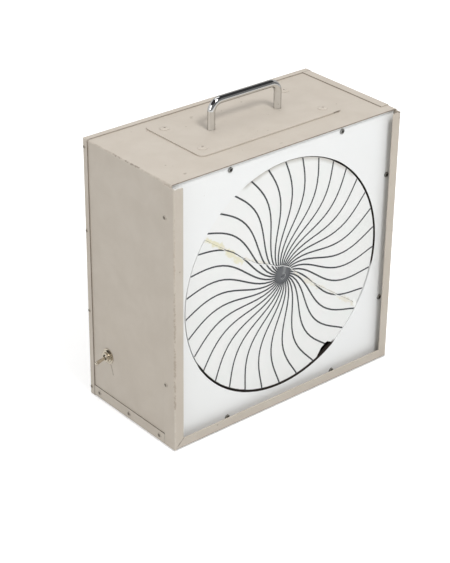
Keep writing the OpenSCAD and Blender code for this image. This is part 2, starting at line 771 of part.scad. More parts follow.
module motor_stator() color([0.42, 0.43, 0.45]) {
    bore_r = rotor_r + air_gap;
    difference() {
        block([stator_left, stator_y, axis_z - stator_h / 2], [stator_right, stator_rear_y, axis_z + stator_h / 2]);
        block([stator_left + limb_w, stator_y - 1, axis_z - stator_h / 2 + arm_h],
            [stator_left + limb_w + window_w, stator_rear_y + 1, axis_z + stator_h / 2 - arm_h]);
        rod_y(bore_r, stator_y - 1, stator_rear_y + 1, rotor_x, axis_z, $fn = 64);
        block([stator_left + limb_w, stator_y - 1, axis_z - 0.6], [stator_right + 1, stator_rear_y + 1, axis_z + 0.6]);
        for (p = motor_screw_places) rod_y(motor_screw_r + hole_play, stator_y - 1, stator_rear_y + 1, p.x, p.y);
        for (side = [-1, 1]) at_ring(side) block([-0.2, stator_y - 1, -ring_z], [ring_t + 0.2, stator_rear_y + 1,
            ring_t + 0.2]);
    }
}

// One copper ring goes round the left half of the upper pole and one round the right half of the lower pole
ring_t = 2;
ring_in = 8;
ring_z = 9.2;
module at_ring(side) {
    translate([rotor_x, 0, axis_z]) rotate([0, side > 0 ? 0 : 180, 0]) translate([-ring_in, 0, ring_z]) children();
}

module shading_rings() color([0.72, 0.40, 0.22]) {
    outer = ring_in - pole_half - ring_t - 0.1;
    for (side = [-1, 1]) at_ring(side) difference() {
        block([outer, stator_y - ring_t - 0.1, 0], [ring_t, stator_rear_y + ring_t + 0.1, ring_t]);
        block([outer + ring_t, stator_y - 0.1, -1], [0, stator_rear_y + 0.1, ring_t + 1]);
    }
}

bobbin_t = 1;
coil_x = 9.5;
bobbin_half = stator_h / 2 - arm_h - 0.3;
module motor_bobbin() color([0.20, 0.20, 0.21]) {
    x0 = stator_left - bobbin_t - 0.2;
    x1 = stator_left + limb_w + bobbin_t + 0.2;
    y0 = stator_y - bobbin_t - 0.2;
    y1 = stator_rear_y + bobbin_t + 0.2;
    z0 = axis_z - bobbin_half;
    z1 = axis_z + bobbin_half;
    difference() {
        union() {
            block([x0, y0, z0], [x1, y1, z1]);
            for (z = [z0, z1 - 1.5]) block([x0 - coil_x, y0 - coil_x, z], [x1 + coil_x, y1 + coil_x, z + 1.5]);
        }
        block([x0 + bobbin_t, y0 + bobbin_t, z0 - 1], [x1 - bobbin_t, y1 - bobbin_t, z1 + 1]);
    }
}

module motor_winding() color([0.62, 0.30, 0.16]) {
    x0 = stator_left - bobbin_t - 0.2;
    x1 = stator_left + limb_w + bobbin_t + 0.2;
    y0 = stator_y - bobbin_t - 0.2;
    y1 = stator_rear_y + bobbin_t + 0.2;
    build = coil_x - 1;
    z0 = axis_z - bobbin_half + 1.5;
    z1 = axis_z + bobbin_half - 1.5;
    difference() {
        along_z(z0, z1) translate([(x0 + x1) / 2, (y0 + y1) / 2])
            round_rect(x1 - x0 + 2 * build, y1 - y0 + 2 * build, 4);
        block([x0, y0, z0 - 1], [x1, y1, z1 + 1]);
    }
}

module motor_rotor() color([0.55, 0.56, 0.58]) {
    difference() {
        rod_y(rotor_r, stator_y, stator_rear_y, rotor_x, axis_z, $fn = 64);
        rod_y(thin_shaft_r + fit_play, stator_y - 1, stator_rear_y + 1, rotor_x, axis_z);
    }
}

module rotor_shaft() color([0.70, 0.71, 0.72]) {
    union() {
        rod_y(thin_shaft_r, fast_gear_y - 1, rear_strap_y + 7, rotor_x, axis_z);
        gear(fast_module, pinion_teeth, left_tooth(pinion_teeth), rotor_x, fast_gear_y - 2, fast_gear_y + 6);
    }
}

module rotor_strap(y0, boss) {
    difference() {
        union() {
            along_y(y0, y0 + strap_t) translate([rotor_x, axis_z]) round_rect(12, 2 * strap_half + 10, 4);
            rod_y(5, min(y0, y0 + boss), max(y0 + strap_t, y0 + boss), rotor_x, axis_z);
        }
        rod_y(thin_shaft_r + running_play, y0 - 9, y0 + 9, rotor_x, axis_z);
        for (p = motor_screw_places) rod_y(motor_screw_r + hole_play, y0 - 1, y0 + strap_t + 1, p.x, p.y);
    }
}

module rotor_brackets() color([0.72, 0.70, 0.62]) {
    rotor_strap(front_strap_y, -2.5);
    rotor_strap(rear_strap_y, 5);
}

module motor_spacers() color([0.72, 0.70, 0.62]) {
    for (p = motor_screw_places) {
        sleeve(2.8, motor_screw_r + hole_play, gearbox_rear_y, front_strap_y, p);
        sleeve(2.8, motor_screw_r + hole_play, front_strap_y + strap_t, stator_y, p);
        sleeve(2.8, motor_screw_r + hole_play, stator_rear_y, rear_strap_y, p);
    }
}

module motor_screws() color([0.58, 0.58, 0.56]) {
    nut_h = 2.4;
    for (p = motor_screw_places) {
        translate([p.x, rear_strap_y + strap_t, p.y]) facing_rear()
            pan_screw(2.9, 2, motor_screw_r, rear_strap_y + strap_t - gears_rear_y + nut_h + 0.5);
        translate([p.x, gears_rear_y, p.y]) facing_front() hex_nut(5.5, nut_h, motor_screw_r + hole_play);
    }
}

// Disc

hub_r = 30;
hub_sleeve_r = 10;
grub_y = hub_y + hub_len - 7;

module disc_hub() color([0.72, 0.73, 0.74]) {
    difference() {
        union() {
            rod_y(hub_r, hub_y, hub_y + hub_flange_t, 0, axis_z);
            rod_y(hub_sleeve_r, hub_y, hub_y + hub_len, 0, axis_z);
        }
        rod_y(output_shaft_r + fit_play, hub_y - 1, hub_y + hub_len + 1, 0, axis_z);
        rod_z(2, axis_z, axis_z + hub_sleeve_r + 1, 0, grub_y);
    }
}

module hub_grub_screw() color([0.30, 0.30, 0.31]) {
    difference() {
        rod_z(2 - fit_play, axis_z + output_shaft_r, axis_z + hub_sleeve_r - 0.5, 0, grub_y);
        translate([0, grub_y, axis_z + hub_sleeve_r - 2.5]) cylinder(d = 2, h = 3, $fn = 6);
    }
}

module disc_pad() color([0.30, 0.29, 0.27]) {
    difference() {
        rod_y(hub_r - 1, disc_rear_y, hub_y, 0, axis_z);
        rod_y(output_shaft_r + hole_play, disc_rear_y - 1, hub_y + 1, 0, axis_z);
    }
}

screw_head_r = 3.9;
screw_head_t = 2.1;
chip_half = chip_len / disc_r * 90 / PI;
chip_outline = [
    polar(disc_r + 2, -chip_angle - chip_half - 0.6),
    polar(disc_r - chip_depth * 0.25, -chip_angle - chip_half * 0.86),
    polar(disc_r - chip_depth * 0.9, -chip_angle - chip_half * 0.16),
    polar(disc_r - chip_depth, -chip_angle + chip_half * 0.43),
    polar(disc_r - chip_depth * 0.88, -chip_angle + chip_half * 0.71),
    polar(disc_r + 2, -chip_angle + chip_half + 0.3)
];

// The crack across the disc from left to right, [x, z] from the middle; both sides were glued back out of line
crack = [[-170, 122.7], [-122.6, 88.3], [-93.7, 67.4], [-63.7, 45.9], [-41.3, 30.9], [-23.8, 24.4], [-11.3, 17.9],
    [-1.3, 15.9], [11.2, 9.5], [17.1, 2.5], [56.1, -30.5], [90, -55.4], [126, -81.4], [170, -113.2]];
module beside_crack(side) { polygon(concat(crack, [[170, side * 170], [-170, side * 170]])); }
module slipped() {
    intersection() { translate(upper_slip) children(); beside_crack(1); }
    intersection() { translate(lower_slip) children(); beside_crack(-1); }
}

module ray_disc() color([0.92, 0.92, 0.91]) {
    difference() {
        along_y(disc_y, disc_rear_y) translate([0, axis_z]) slipped() circle(disc_r, $fn = 128);
        rod_y(disc_screw_r + hole_play, disc_y - 1, disc_rear_y + 1, 0, axis_z);
        translate([0, disc_y, axis_z]) facing_rear() translate([0, 0, -0.01])
            cylinder(r1 = screw_head_r + hole_play, r2 = disc_screw_r + hole_play, h = screw_head_t);
        along_y(disc_y - 1, disc_rear_y + 1) translate([0, axis_z]) polygon(chip_outline);
    }
}

// The rays: one curve turned about the spot, as a curve of five handles over the radius; the rim cuts their ends
ray_steps = 18;
ray_reach = 150;
ray_over = 1.07;
function turn_at(s, h = ray_turn) =
    len(h) == 1 ? h[0] : turn_at(s, [for (k = [0:len(h) - 2]) h[k] * (1 - s) + h[k + 1] * s]);
function ray_point(s, a) =
    print_shift + polar(spot_r + (ray_reach - spot_r) * s, a + turn_at(s)) + (1 - s) * (1 - s) * spot_shift;
function ray_side(k, a, side) =
    let (s = k / ray_steps * ray_over, run = unit(ray_point(s + 0.01, a) - ray_point(s - 0.01, a)))
    ray_point(s, a) + side * ray_w / 2 * [-run.y, run.x];
function print_outline() = [for (i = [0:ray_count - 1]) let (a = i * 360 / ray_count + ray_phase) each concat(
    [for (k = [0:ray_steps]) ray_side(k, a, -1)],
    [for (k = [ray_steps:-1:0]) ray_side(k, a, 1)])];

module ray_print() color([0.36, 0.36, 0.38]) {
    difference() {
        along_y(disc_y - print_t, disc_y) translate([0, axis_z]) difference() {
            slipped() intersection() {
                circle(disc_r - 0.4, $fn = 128);
                polygon(print_outline());
            }
            circle(screw_head_r + 2 * hole_play);
        }
        along_y(disc_y - 1, disc_y + 1) translate([0, axis_z]) polygon(chip_outline);
    }
}

module disc_screw() color([0.33, 0.33, 0.35]) {
    translate([0, disc_y, axis_z]) facing_front() {
        difference() {
            union() {
                translate([0, 0, -screw_head_t]) cylinder(r1 = disc_screw_r - hole_play, r2 = screw_head_r,
                    h = screw_head_t);
                translate([0, 0, -disc_screw_len]) cylinder(r = disc_screw_r - hole_play,
                    h = disc_screw_len - screw_head_t + 0.01);
            }
            translate([-screw_head_r, -0.4, -0.7]) cube([2 * screw_head_r, 0.8, 1]);
        }
    }
}

// Switch on the left side

lever_pivot_x = -side_x - 2.5;
switch_bore_r = 3.6;
lock_washer_t = 0.8;
body_x = -inner_x + lock_washer_t;
washer_t = 1;
nut_t = 2.8;
switch_body_d = 20;

module switch_body() color([0.16, 0.15, 0.14]) {
    difference() {
        union() {
            block([body_x, switch_y - 8, switch_h - 14], [body_x + switch_body_d, switch_y + 8, switch_h + 14]);
            difference() {
                rod_x(8.5, -inner_x, body_x, switch_y, switch_h);
                rod_x(bushing_r + hole_play, -inner_x - 1, body_x + 1, switch_y, switch_h);
            }
        }
        rod_x(switch_bore_r, body_x - 1, body_x + 4, switch_y, switch_h);
    }
}

tag_z = 8;
tag_x = body_x + switch_body_d + 10;
module switch_tags() color([0.76, 0.70, 0.50]) {
    for (z = [-tag_z, tag_z])
        block([body_x + switch_body_d, switch_y - 3, switch_h + z - 0.4], [tag_x, switch_y + 3, switch_h + z + 0.4]);
}

module switch_bushing() color([0.78, 0.77, 0.74]) {
    difference() {
        rod_x(bushing_r, -side_x - bushing_out, body_x, switch_y, switch_h);
        rod_x(switch_bore_r, -side_x - bushing_out - 1, body_x + 1, switch_y, switch_h);
    }
}

module switch_washer() color([0.74, 0.72, 0.68]) {
    difference() {
        rod_x(washer_r, -side_x - washer_t, -side_x, switch_y, switch_h);
        rod_x(bushing_r + hole_play, -side_x - washer_t - 1, -side_x + 1, switch_y, switch_h);
    }
}

module switch_nut() color([0.80, 0.79, 0.76]) {
    translate([-side_x - washer_t, switch_y, switch_h]) facing_left() rotate(15) intersection() {
        hex_nut(14, nut_t, bushing_r + hole_play);
        dome(8.2, nut_t, nut_t * 0.55);
    }
}

module switch_lever() color([0.82, 0.81, 0.78]) {
    neck = -side_x - bushing_out - lever_pivot_x;
    reach = -neck + lever_out;
    tip_r = 2.5;
    translate([lever_pivot_x, switch_y, switch_h]) rotate([0, -lever_tilt, 0]) facing_left() {
        sphere(3.1);
        cylinder(r1 = 1.5, r2 = tip_r, h = reach - tip_r);
        translate([0, 0, reach - tip_r]) sphere(tip_r);
        rotate([180, 0, 0]) cylinder(r = 1.3, h = 6);
    }
}

// Mains inlet in the rear cover

inlet_body_w = 28;
inlet_body_h = 20.5;
inlet_span = 40;
inlet_screw_r = 1.75;
inlet_flange_t = 3;
inlet_floor_y = rear_y + inlet_flange_t - 16;
inlet_back_y = inlet_floor_y - 4;

module inlet_body() color([0.12, 0.12, 0.12]) {
    difference() {
        union() {
            along_y(rear_y, rear_y + inlet_flange_t) translate([-inlet_left, inlet_h]) {
                round_rect(inlet_body_w + 2, 24, 4);
                difference() {
                    round_rect(50, 14, 6.9);
                    for (x = [-1, 1]) translate([x * inlet_span / 2, 0]) circle(inlet_screw_r + hole_play);
                }
            }
            along_y(inlet_back_y, rear_y) translate([-inlet_left, inlet_h])
                round_rect(inlet_body_w, inlet_body_h, 2);
        }
        along_y(inlet_floor_y, rear_y + inlet_flange_t + 1) translate([-inlet_left, inlet_h])
            polygon([[-12, -8.3], [12, -8.3], [12, 4], [7.5, 8.3], [-7.5, 8.3], [-12, 4]]);
        at_inlet_pins() block([-2.1, inlet_back_y - 1, -1.1], [2.1, inlet_floor_y + 1, 1.1]);
    }
}

// Live, neutral and earth: [x, z] from the inlet's middle
pin_places = [[-7, 0], [7, 0], [0, 4]];
module at_inlet_pins() {
    for (p = pin_places) translate([p.x - inlet_left, 0, inlet_h + p.y]) rotate([0, 90, 0]) children();
}

pin_rear_y = inlet_back_y - 8;
module inlet_pins() color([0.80, 0.78, 0.70]) {
    at_inlet_pins() block([-2, pin_rear_y, -1], [2, inlet_floor_y + 10, 1]);
}

module inlet_screws() color([0.62, 0.61, 0.58]) {
    for (x = [-1, 1]) translate([x * inlet_span / 2 - inlet_left, rear_y + inlet_flange_t, inlet_h]) {
        facing_rear() pan_screw(3.4, 2.2, inlet_screw_r, 10);
        translate([0, -inlet_flange_t - sheet_t, 0]) facing_front() hex_nut(6, 2.6, inlet_screw_r + hole_play);
    }
}

// Terminal block and earth stud on the bridge

block_h = 34;
block_w = 24;
block_t = 13;
terminal_dx = 6;
module terminal_block() color([0.86, 0.84, 0.78]) {
    y0 = gearbox_y;
    difference() {
        block([block_x - block_w / 2, y0, axis_z - block_h / 2], [block_x + block_w / 2, y0 + block_t, axis_z + block_h / 2]);
        for (z = [-1, 1]) rod_y(block_screw_r + hole_play, y0 - 1, y0 + block_t + 1, block_x,
            axis_z + z * block_screw_dz);
        for (z = [-1, 1]) rod_y(4, y0 + 6, y0 + block_t + 1, block_x, axis_z + z * block_screw_dz);
        for (x = [-1, 1]) rod_y(2, y0 + block_t - 5, y0 + block_t + 1, block_x + x * terminal_dx, axis_z);
    }
}

module terminal_screws() color([0.76, 0.70, 0.50]) {
    for (z = [-1, 1]) translate([block_x, gearbox_y + 6, axis_z + z * block_screw_dz]) {
        facing_rear() pan_screw(3, 2, block_screw_r, 6 + bridge_t + 2.5);
        translate([0, -6 - bridge_t, 0]) facing_front() hex_nut(5.5, 2.4, block_screw_r + hole_play);
    }
    for (x = [-1, 1]) translate([block_x + x * terminal_dx, gearbox_y + block_t - 2.5, axis_z]) facing_rear()
        pan_screw(1.9, 1.2, 1.2, 2.5);
}

eyelet_t = 1;
eyelet_l = 11;
module earth_stud() color([0.78, 0.72, 0.50]) {
    translate([stud_x, gearbox_y, axis_z]) facing_rear() {
        translate([0, 0, -bridge_t - 3]) cylinder(d = 7 / cos(30), h = 3, $fn = 6);
        translate([0, 0, -bridge_t]) cylinder(r = stud_r, h = bridge_t + 12);
        for (z = [0, 3 + eyelet_t]) translate([0, 0, z]) hex_nut(7, 3, stud_r + hole_play);
        translate([0, 0, 3]) linear_extrude(eyelet_t) difference() {
            union() {
                circle(4.5);
                translate([-1.5, 0]) square([3, eyelet_l]);
            }
            circle(stud_r + hole_play);
        }
    }
}

// Leads: a tube of eight sides swept along a smooth curve from one terminal to another

lead_r = 1.3;
touch = 0.05;
function pin_end(k) = [pin_places[k].x - inlet_left, pin_rear_y - touch, inlet_h + pin_places[k].y];
function tag_end(side) = [tag_x + touch, switch_y, switch_h + side * tag_z];
function block_end(left, up) =
    [block_x + left * terminal_dx, gearbox_y + block_t / 2, axis_z + up * (block_h / 2 + touch)];
function bobbin_end(x, y) = [stator_left + x, stator_y + y, axis_z + bobbin_half + touch];
eyelet_end = [stud_x, gearbox_y + 3 + eyelet_t / 2, axis_z - eyelet_l - touch];

// A route leaves one end and meets the other straight; each bend is a share of the way and its place beside it
function route(a, leave, b, meet, bends) = concat([a, a + leave],
    [for (k = bends) a + (b - a) * k[0] + [k[1], k[2], k[3]]], [b + meet, b]);
live_route = route(pin_end(0), [0, -6, 0], tag_end(-1), [5, 0, 0], [[0.4, 4.4, -9.2, -9.2],
    [0.7, 2.2, -5.8, -10.6]]);
switched_route = route(tag_end(1), [5, 0, 0], block_end(-1, -1), [0, 0, -5], [[0.2, 6, 5, 1],
    [0.5, 3.5, 4, 1.5], [0.75, 1.7, -1.2, 3.8]]);
neutral_route = route(pin_end(1), [0, -6, 0], block_end(1, -1), [0, 0, -7], [[0.15, 4, -1.3, -2.4],
    [0.42, 4.5, -3, 0], [0.75, 0.8, -2.8, 1.8]]);
earth_route = route(pin_end(2), [0, -6, 0], eyelet_end, [0, 0, -5], [[0.25, 2, 7.2, 6.8],
    [0.6, -2, 22.4, 12], [0.85, -3, 13.5, 3.8]]);
motor_route_a = route(block_end(-1, 1), [0, 0, 5], bobbin_end(-7.3, -3.4), [0, 0, 5], [[0.06, -6.5, 2.9, 8.1],
    [0.25, -3.6, 10.5, 14.5], [0.7, -1.7, 9.6, 14.6], [0.93, 1.5, 4, 9]]);
motor_route_b = route(block_end(1, 1), [0, 0, 5], bobbin_end(-5.8, 9.6), [0, 0, 5], [[0.06, -3.9, 4.1, 7.1],
    [0.28, -1, 9, 7.6], [0.7, -1.4, 4.5, 9.6], [0.93, 1.2, 1.9, 7.1]]);

tube_sides = 8;
steps_per_run = 6;
function catmull(a, b, c, d, s) = 0.5 * (2 * b + (c - a) * s + (2 * a - 5 * b + 4 * c - d) * s * s
    + (3 * b - a - 3 * c + d) * s * s * s);
function smooth(p) =
    let (n = len(p) - 1, q = concat([2 * p[0] - p[1]], p, [2 * p[n] - p[n - 1]]))
    concat([for (i = [0:n - 1], k = [0:steps_per_run - 1])
        catmull(q[i], q[i + 1], q[i + 2], q[i + 3], k / steps_per_run)], [p[n]]);
function ring(c, run, r) =
    let (u = unit(cross(run, [0.31, 0.17, 0.93])), v = unit(cross(run, u)))
    [for (k = [0:tube_sides - 1]) c + r * (cos(k * 360 / tube_sides) * u + sin(k * 360 / tube_sides) * v)];

module lead(route, r = lead_r) {
    pts = smooth(route);
    n = len(pts);
    last = len(route) - 1;
    runs = concat([route[1] - route[0]], [for (i = [1:n - 2]) pts[i + 1] - pts[i - 1]], [route[last] - route[last - 1]]);
    rings = [for (i = [0:n - 1]) each ring(pts[i], runs[i], r)];
    polyhedron(rings, concat(
        [[for (k = [0:tube_sides - 1]) k]],
        [for (i = [0:n - 2], k = [0:tube_sides - 1]) let (j = (k + 1) % tube_sides)
            [i * tube_sides + k, (i + 1) * tube_sides + k, (i + 1) * tube_sides + j, i * tube_sides + j]],
        [[for (k = [tube_sides - 1:-1:0]) (n - 1) * tube_sides + k]]));
}

module mains_leads() color([0.25, 0.18, 0.12]) {
    lead(live_route);
    lead(switched_route);
    lead(neutral_route);
}

module motor_leads() color([0.16, 0.16, 0.18]) {
    lead(motor_route_a);
    lead(motor_route_b);
}

module earth_lead() color([0.30, 0.45, 0.20]) { lead(earth_route); }

shell_left_top();
shell_right_bottom();
front_frame_left();
front_frame_right();
front_frame_bottom();
rear_cover();
rear_cover_screws();
front_panel();
front_panel_screws();
bearer_left();
bearer_right();
bearer_top();
bearer_bottom();
frame_rivets();
lap_rivets();
handle_plate();
handle_plate_rivets();
carry_handle();
handle_bolts();
handle_spreaders();
drive_bridge();
gearbox_front_plate();
gearbox_rear_plate();
gearbox_spacers();
gearbox_screws();
output_bushes();
output_shaft();
output_gear();
layshaft();
layshaft_gear();
motor_stator();
motor_bobbin();
motor_winding();
shading_rings();
motor_rotor();
rotor_shaft();
rotor_brackets();
motor_spacers();
motor_screws();
disc_hub();
hub_grub_screw();
disc_pad();
ray_disc();
ray_print();
disc_screw();
switch_body();
switch_tags();
switch_bushing();
switch_washer();
switch_nut();
switch_lever();
inlet_body();
inlet_pins();
inlet_screws();
terminal_block();
terminal_screws();
earth_stud();
mains_leads();
motor_leads();
earth_lead();
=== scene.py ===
"""Looks of the demonstration box: a worn beige sheet-metal case with a chrome handle and a white disc of rays.

The CAD nodes keep their shapes and get procedural materials. The crack across the disc is added as two thin
pieces that ride on the disc. Lengths are in metres in the part's frame; places given in mm are divided by 1000.
"""
import math
import random

import bpy
from mathutils import Matrix, Vector


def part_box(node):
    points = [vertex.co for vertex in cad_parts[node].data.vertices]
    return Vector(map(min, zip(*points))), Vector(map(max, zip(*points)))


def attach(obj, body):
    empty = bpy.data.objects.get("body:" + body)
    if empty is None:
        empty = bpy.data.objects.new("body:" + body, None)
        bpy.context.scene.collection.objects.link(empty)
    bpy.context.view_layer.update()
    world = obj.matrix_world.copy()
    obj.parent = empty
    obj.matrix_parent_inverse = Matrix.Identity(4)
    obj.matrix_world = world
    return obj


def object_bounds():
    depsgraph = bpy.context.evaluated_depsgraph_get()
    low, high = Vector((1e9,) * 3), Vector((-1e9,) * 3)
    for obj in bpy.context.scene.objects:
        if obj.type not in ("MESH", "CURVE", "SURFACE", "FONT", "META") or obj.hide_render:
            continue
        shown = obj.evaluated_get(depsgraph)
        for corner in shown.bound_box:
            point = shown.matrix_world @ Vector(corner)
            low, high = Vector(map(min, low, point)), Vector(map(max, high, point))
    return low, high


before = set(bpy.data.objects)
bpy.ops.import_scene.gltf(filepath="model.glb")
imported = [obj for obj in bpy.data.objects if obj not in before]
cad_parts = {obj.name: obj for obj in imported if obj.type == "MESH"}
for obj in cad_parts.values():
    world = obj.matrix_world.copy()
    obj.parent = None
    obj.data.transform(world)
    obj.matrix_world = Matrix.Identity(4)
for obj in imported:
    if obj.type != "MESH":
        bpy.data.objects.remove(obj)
cad_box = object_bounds()

IMAGE_HEIGHT_PX = 563
SENSOR_MM = 36.0
FOCAL_PX = 1703.25
CAMERA_PLACE_MM = (-1223.46, -1418.1, 1158.55)
CAMERA_RIGHT = (0.767479, -0.640994, 0.010144)
CAMERA_UP = (0.300903, 0.374162, 0.877189)
CAMERA_FORWARD = (0.566068, 0.670172, -0.480038)


def mm(x, y, z):
    """A point given in millimetres, in metres."""
    return Vector((x, y, z)) / 1000


def photo_camera():
    """The camera of the photograph: its long side is the sensor's width."""
    data = bpy.data.cameras.new("photo_camera")
    data.sensor_width = SENSOR_MM
    data.lens = FOCAL_PX / IMAGE_HEIGHT_PX * SENSOR_MM
    data.clip_start = 0.05
    data.clip_end = 60
    camera = bpy.data.objects.new("photo_camera", data)
    bpy.context.scene.collection.objects.link(camera)
    turn = Matrix((CAMERA_RIGHT, CAMERA_UP, tuple(-c for c in CAMERA_FORWARD))).transposed()
    camera.matrix_world = Matrix.Translation(mm(*CAMERA_PLACE_MM)) @ turn.to_4x4()
    bpy.context.scene.camera = camera


photo_camera()
bpy.context.scene.view_settings.view_transform = "Standard"


# Shader nodes

def put(tree, value, socket):
    """Links a node's output to a socket, or sets the socket to a number, a colour or a vector."""
    if isinstance(value, bpy.types.NodeSocket):
        tree.links.new(value, socket)
    else:
        socket.default_value = value


def calc(tree, operation, a, b=0.0, clamp=False):
    """One Math node."""
    node = tree.nodes.new("ShaderNodeMath")
    node.operation = operation
    node.use_clamp = clamp
    put(tree, a, node.inputs[0])
    put(tree, b, node.inputs[1])
    return node.outputs[0]


def vector_calc(tree, operation, a, b=(0, 0, 0)):
    """One Vector Math node; the output is a number for a dot product, a length or a distance."""
    node = tree.nodes.new("ShaderNodeVectorMath")
    node.operation = operation
    put(tree, a, node.inputs[0])
    put(tree, b, node.inputs[1])
    return node.outputs["Value" if operation in ("DOT_PRODUCT", "LENGTH", "DISTANCE") else "Vector"]


def scaled(tree, vector, factor):
    """A vector times a number."""
    node = tree.nodes.new("ShaderNodeVectorMath")
    node.operation = "SCALE"
    put(tree, vector, node.inputs[0])
    put(tree, factor, node.inputs["Scale"])
    return node.outputs["Vector"]


def noise(tree, vector, scale, detail=3.0, roughness=0.5, distortion=0.0):
    """The grey value of one Noise Texture."""
    node = tree.nodes.new("ShaderNodeTexNoise")
    put(tree, vector, node.inputs["Vector"])
    put(tree, scale, node.inputs["Scale"])
    node.inputs["Detail"].default_value = detail
    node.inputs["Roughness"].default_value = roughness
    node.inputs["Distortion"].default_value = distortion
    return node.outputs[0]


def step(tree, value, low, high):
    """0 below low, 1 above high and smooth between them; low may be the larger."""
    node = tree.nodes.new("ShaderNodeMapRange")
    node.interpolation_type = "SMOOTHSTEP"
    put(tree, value, node.inputs["Value"])
    put(tree, low, node.inputs["From Min"])
    put(tree, high, node.inputs["From Max"])
    return node.outputs["Result"]


MIX_SOCKETS = {"RGBA": ("A_Color", "B_Color", "Result_Color"), "FLOAT": ("A_Float", "B_Float", "Result_Float")}


def mixed(tree, amount, a, b, kind="RGBA"):
    """a where amount is 0 and b where it is 1, as colours or as numbers."""
    node = tree.nodes.new("ShaderNodeMix")
    node.data_type = kind
    first, second, result = MIX_SOCKETS[kind]
    inputs = {socket.identifier: socket for socket in node.inputs}
    put(tree, amount, inputs["Factor_Float"])
    put(tree, a, inputs[first])
    put(tree, b, inputs[second])
    return next(socket for socket in node.outputs if socket.identifier == result)


def new_group(name, inputs, output):
    """An empty node group with named sockets; an input is a name, a kind and a default or None."""
    tree = bpy.data.node_groups.new(name, "ShaderNodeTree")
    for label, kind, default in inputs:
        socket = tree.interface.new_socket(label, in_out="INPUT", socket_type="NodeSocket" + kind)
        if default is not None:
            socket.default_value = default
    tree.interface.new_socket(output, in_out="OUTPUT", socket_type="NodeSocketFloat")
    return tree, tree.nodes.new("NodeGroupInput").outputs, tree.nodes.new("NodeGroupOutput").inputs


def make_blotches():
    """Broad soft patches, as ageing paint and plastic have."""
    tree, have, give = new_group("soft_blotches", [
        ("Vector", "Vector", None), ("Scale", "Float", 8.0), ("Contrast", "Float", 0.5)], "Amount")
    value = noise(tree, have["Vector"], have["Scale"], 4, 0.55, 0.4)
    half = calc(tree, "MULTIPLY", calc(tree, "SUBTRACT", 1.0, have["Contrast"]), 0.25)
    low = calc(tree, "SUBTRACT", 0.42, half)
    put(tree, step(tree, value, low, calc(tree, "ADD", 0.58, half)), give["Amount"])
    return tree


def make_grain():
    """Fine unevenness of a finish: a rolling one and a sharp one together."""
    tree, have, give = new_group("fine_grain", [
        ("Vector", "Vector", None), ("Scale", "Float", 900.0)], "Height")
    rolling = noise(tree, have["Vector"], have["Scale"], 2, 0.4)
    sharp = noise(tree, have["Vector"], calc(tree, "MULTIPLY", have["Scale"], 4.3), 4, 0.6)
    put(tree, mixed(tree, 0.3, rolling, sharp, "FLOAT"), give["Height"])
    return tree


def make_edge_wear():
    """Rubbed edges: where a rounded normal leaves the true one, broken up by noise."""
    tree, have, give = new_group("edge_wear", [
        ("Vector", "Vector", None), ("Width", "Float", 0.001), ("Breakup", "Float", 120.0),
        ("Amount", "Float", 0.5)], "Mask")
    bevel = tree.nodes.new("ShaderNodeBevel")
    bevel.samples = 6
    put(tree, have["Width"], bevel.inputs["Radius"])
    true_normal = tree.nodes.new("ShaderNodeNewGeometry").outputs["Normal"]
    likeness = vector_calc(tree, "DOT_PRODUCT", bevel.outputs["Normal"], true_normal)
    turned = calc(tree, "SUBTRACT", 1.0, likeness)
    edge = step(tree, turned, 0.01, 0.14)
    broken = noise(tree, have["Vector"], have["Breakup"], 5, 0.65, 0.6)
    kept = step(tree, broken, calc(tree, "SUBTRACT", 0.72, calc(tree, "MULTIPLY", have["Amount"], 0.4)), 0.74)
    put(tree, calc(tree, "MULTIPLY", edge, kept), give["Mask"])
    return tree


def make_specks():
    """Small separate dots of dirt or missing paint."""
    tree, have, give = new_group("dirt_specks", [
        ("Vector", "Vector", None), ("Scale", "Float", 260.0), ("Coverage", "Float", 0.1)], "Mask")
    cells = tree.nodes.new("ShaderNodeTexVoronoi")
    put(tree, have["Vector"], cells.inputs["Vector"])
    put(tree, have["Scale"], cells.inputs["Scale"])
    chosen = tree.nodes.new("ShaderNodeSeparateColor")
    put(tree, cells.outputs["Color"], chosen.inputs[0])
    here = calc(tree, "LESS_THAN", chosen.outputs[0], have["Coverage"])
    size = calc(tree, "MULTIPLY", chosen.outputs[1], 0.32)
    dot = step(tree, cells.outputs["Distance"], size, calc(tree, "MULTIPLY", size, 0.4))
    put(tree, calc(tree, "MULTIPLY", here, dot), give["Mask"])
    return tree


def make_scratches():
    """Thin marks that run along one direction; Stretch holds the scale across each axis."""
    tree, have, give = new_group("scratches", [
        ("Vector", "Vector", None), ("Stretch", "Vector", (900.0, 900.0, 12.0)),
        ("Coverage", "Float", 0.1)], "Mask")
    across = vector_calc(tree, "MULTIPLY", have["Vector"], have["Stretch"])
    value = noise(tree, across, 1.0, 3, 0.7, 0.3)
    low = calc(tree, "SUBTRACT", 0.72, calc(tree, "MULTIPLY", have["Coverage"], 0.3))
    put(tree, step(tree, value, low, 0.78), give["Mask"])
    return tree


def make_dust_and_shade():
    """Painted shade with dust, darker in corners and under edges, from how much the surface is shut in."""
    tree, have, give = new_group("corner_dust_and_shade", [("Reach", "Float", 0.006), ("Amount", "Float", 1.0)], "Mask")
    shut_in = tree.nodes.new("ShaderNodeAmbientOcclusion")
    shut_in.samples = 6
    put(tree, have["Reach"], shut_in.inputs["Distance"])
    corner = step(tree, shut_in.outputs["AO"], 0.75, 0.1)
    put(tree, calc(tree, "MULTIPLY", corner, have["Amount"]), give["Mask"])
    return tree


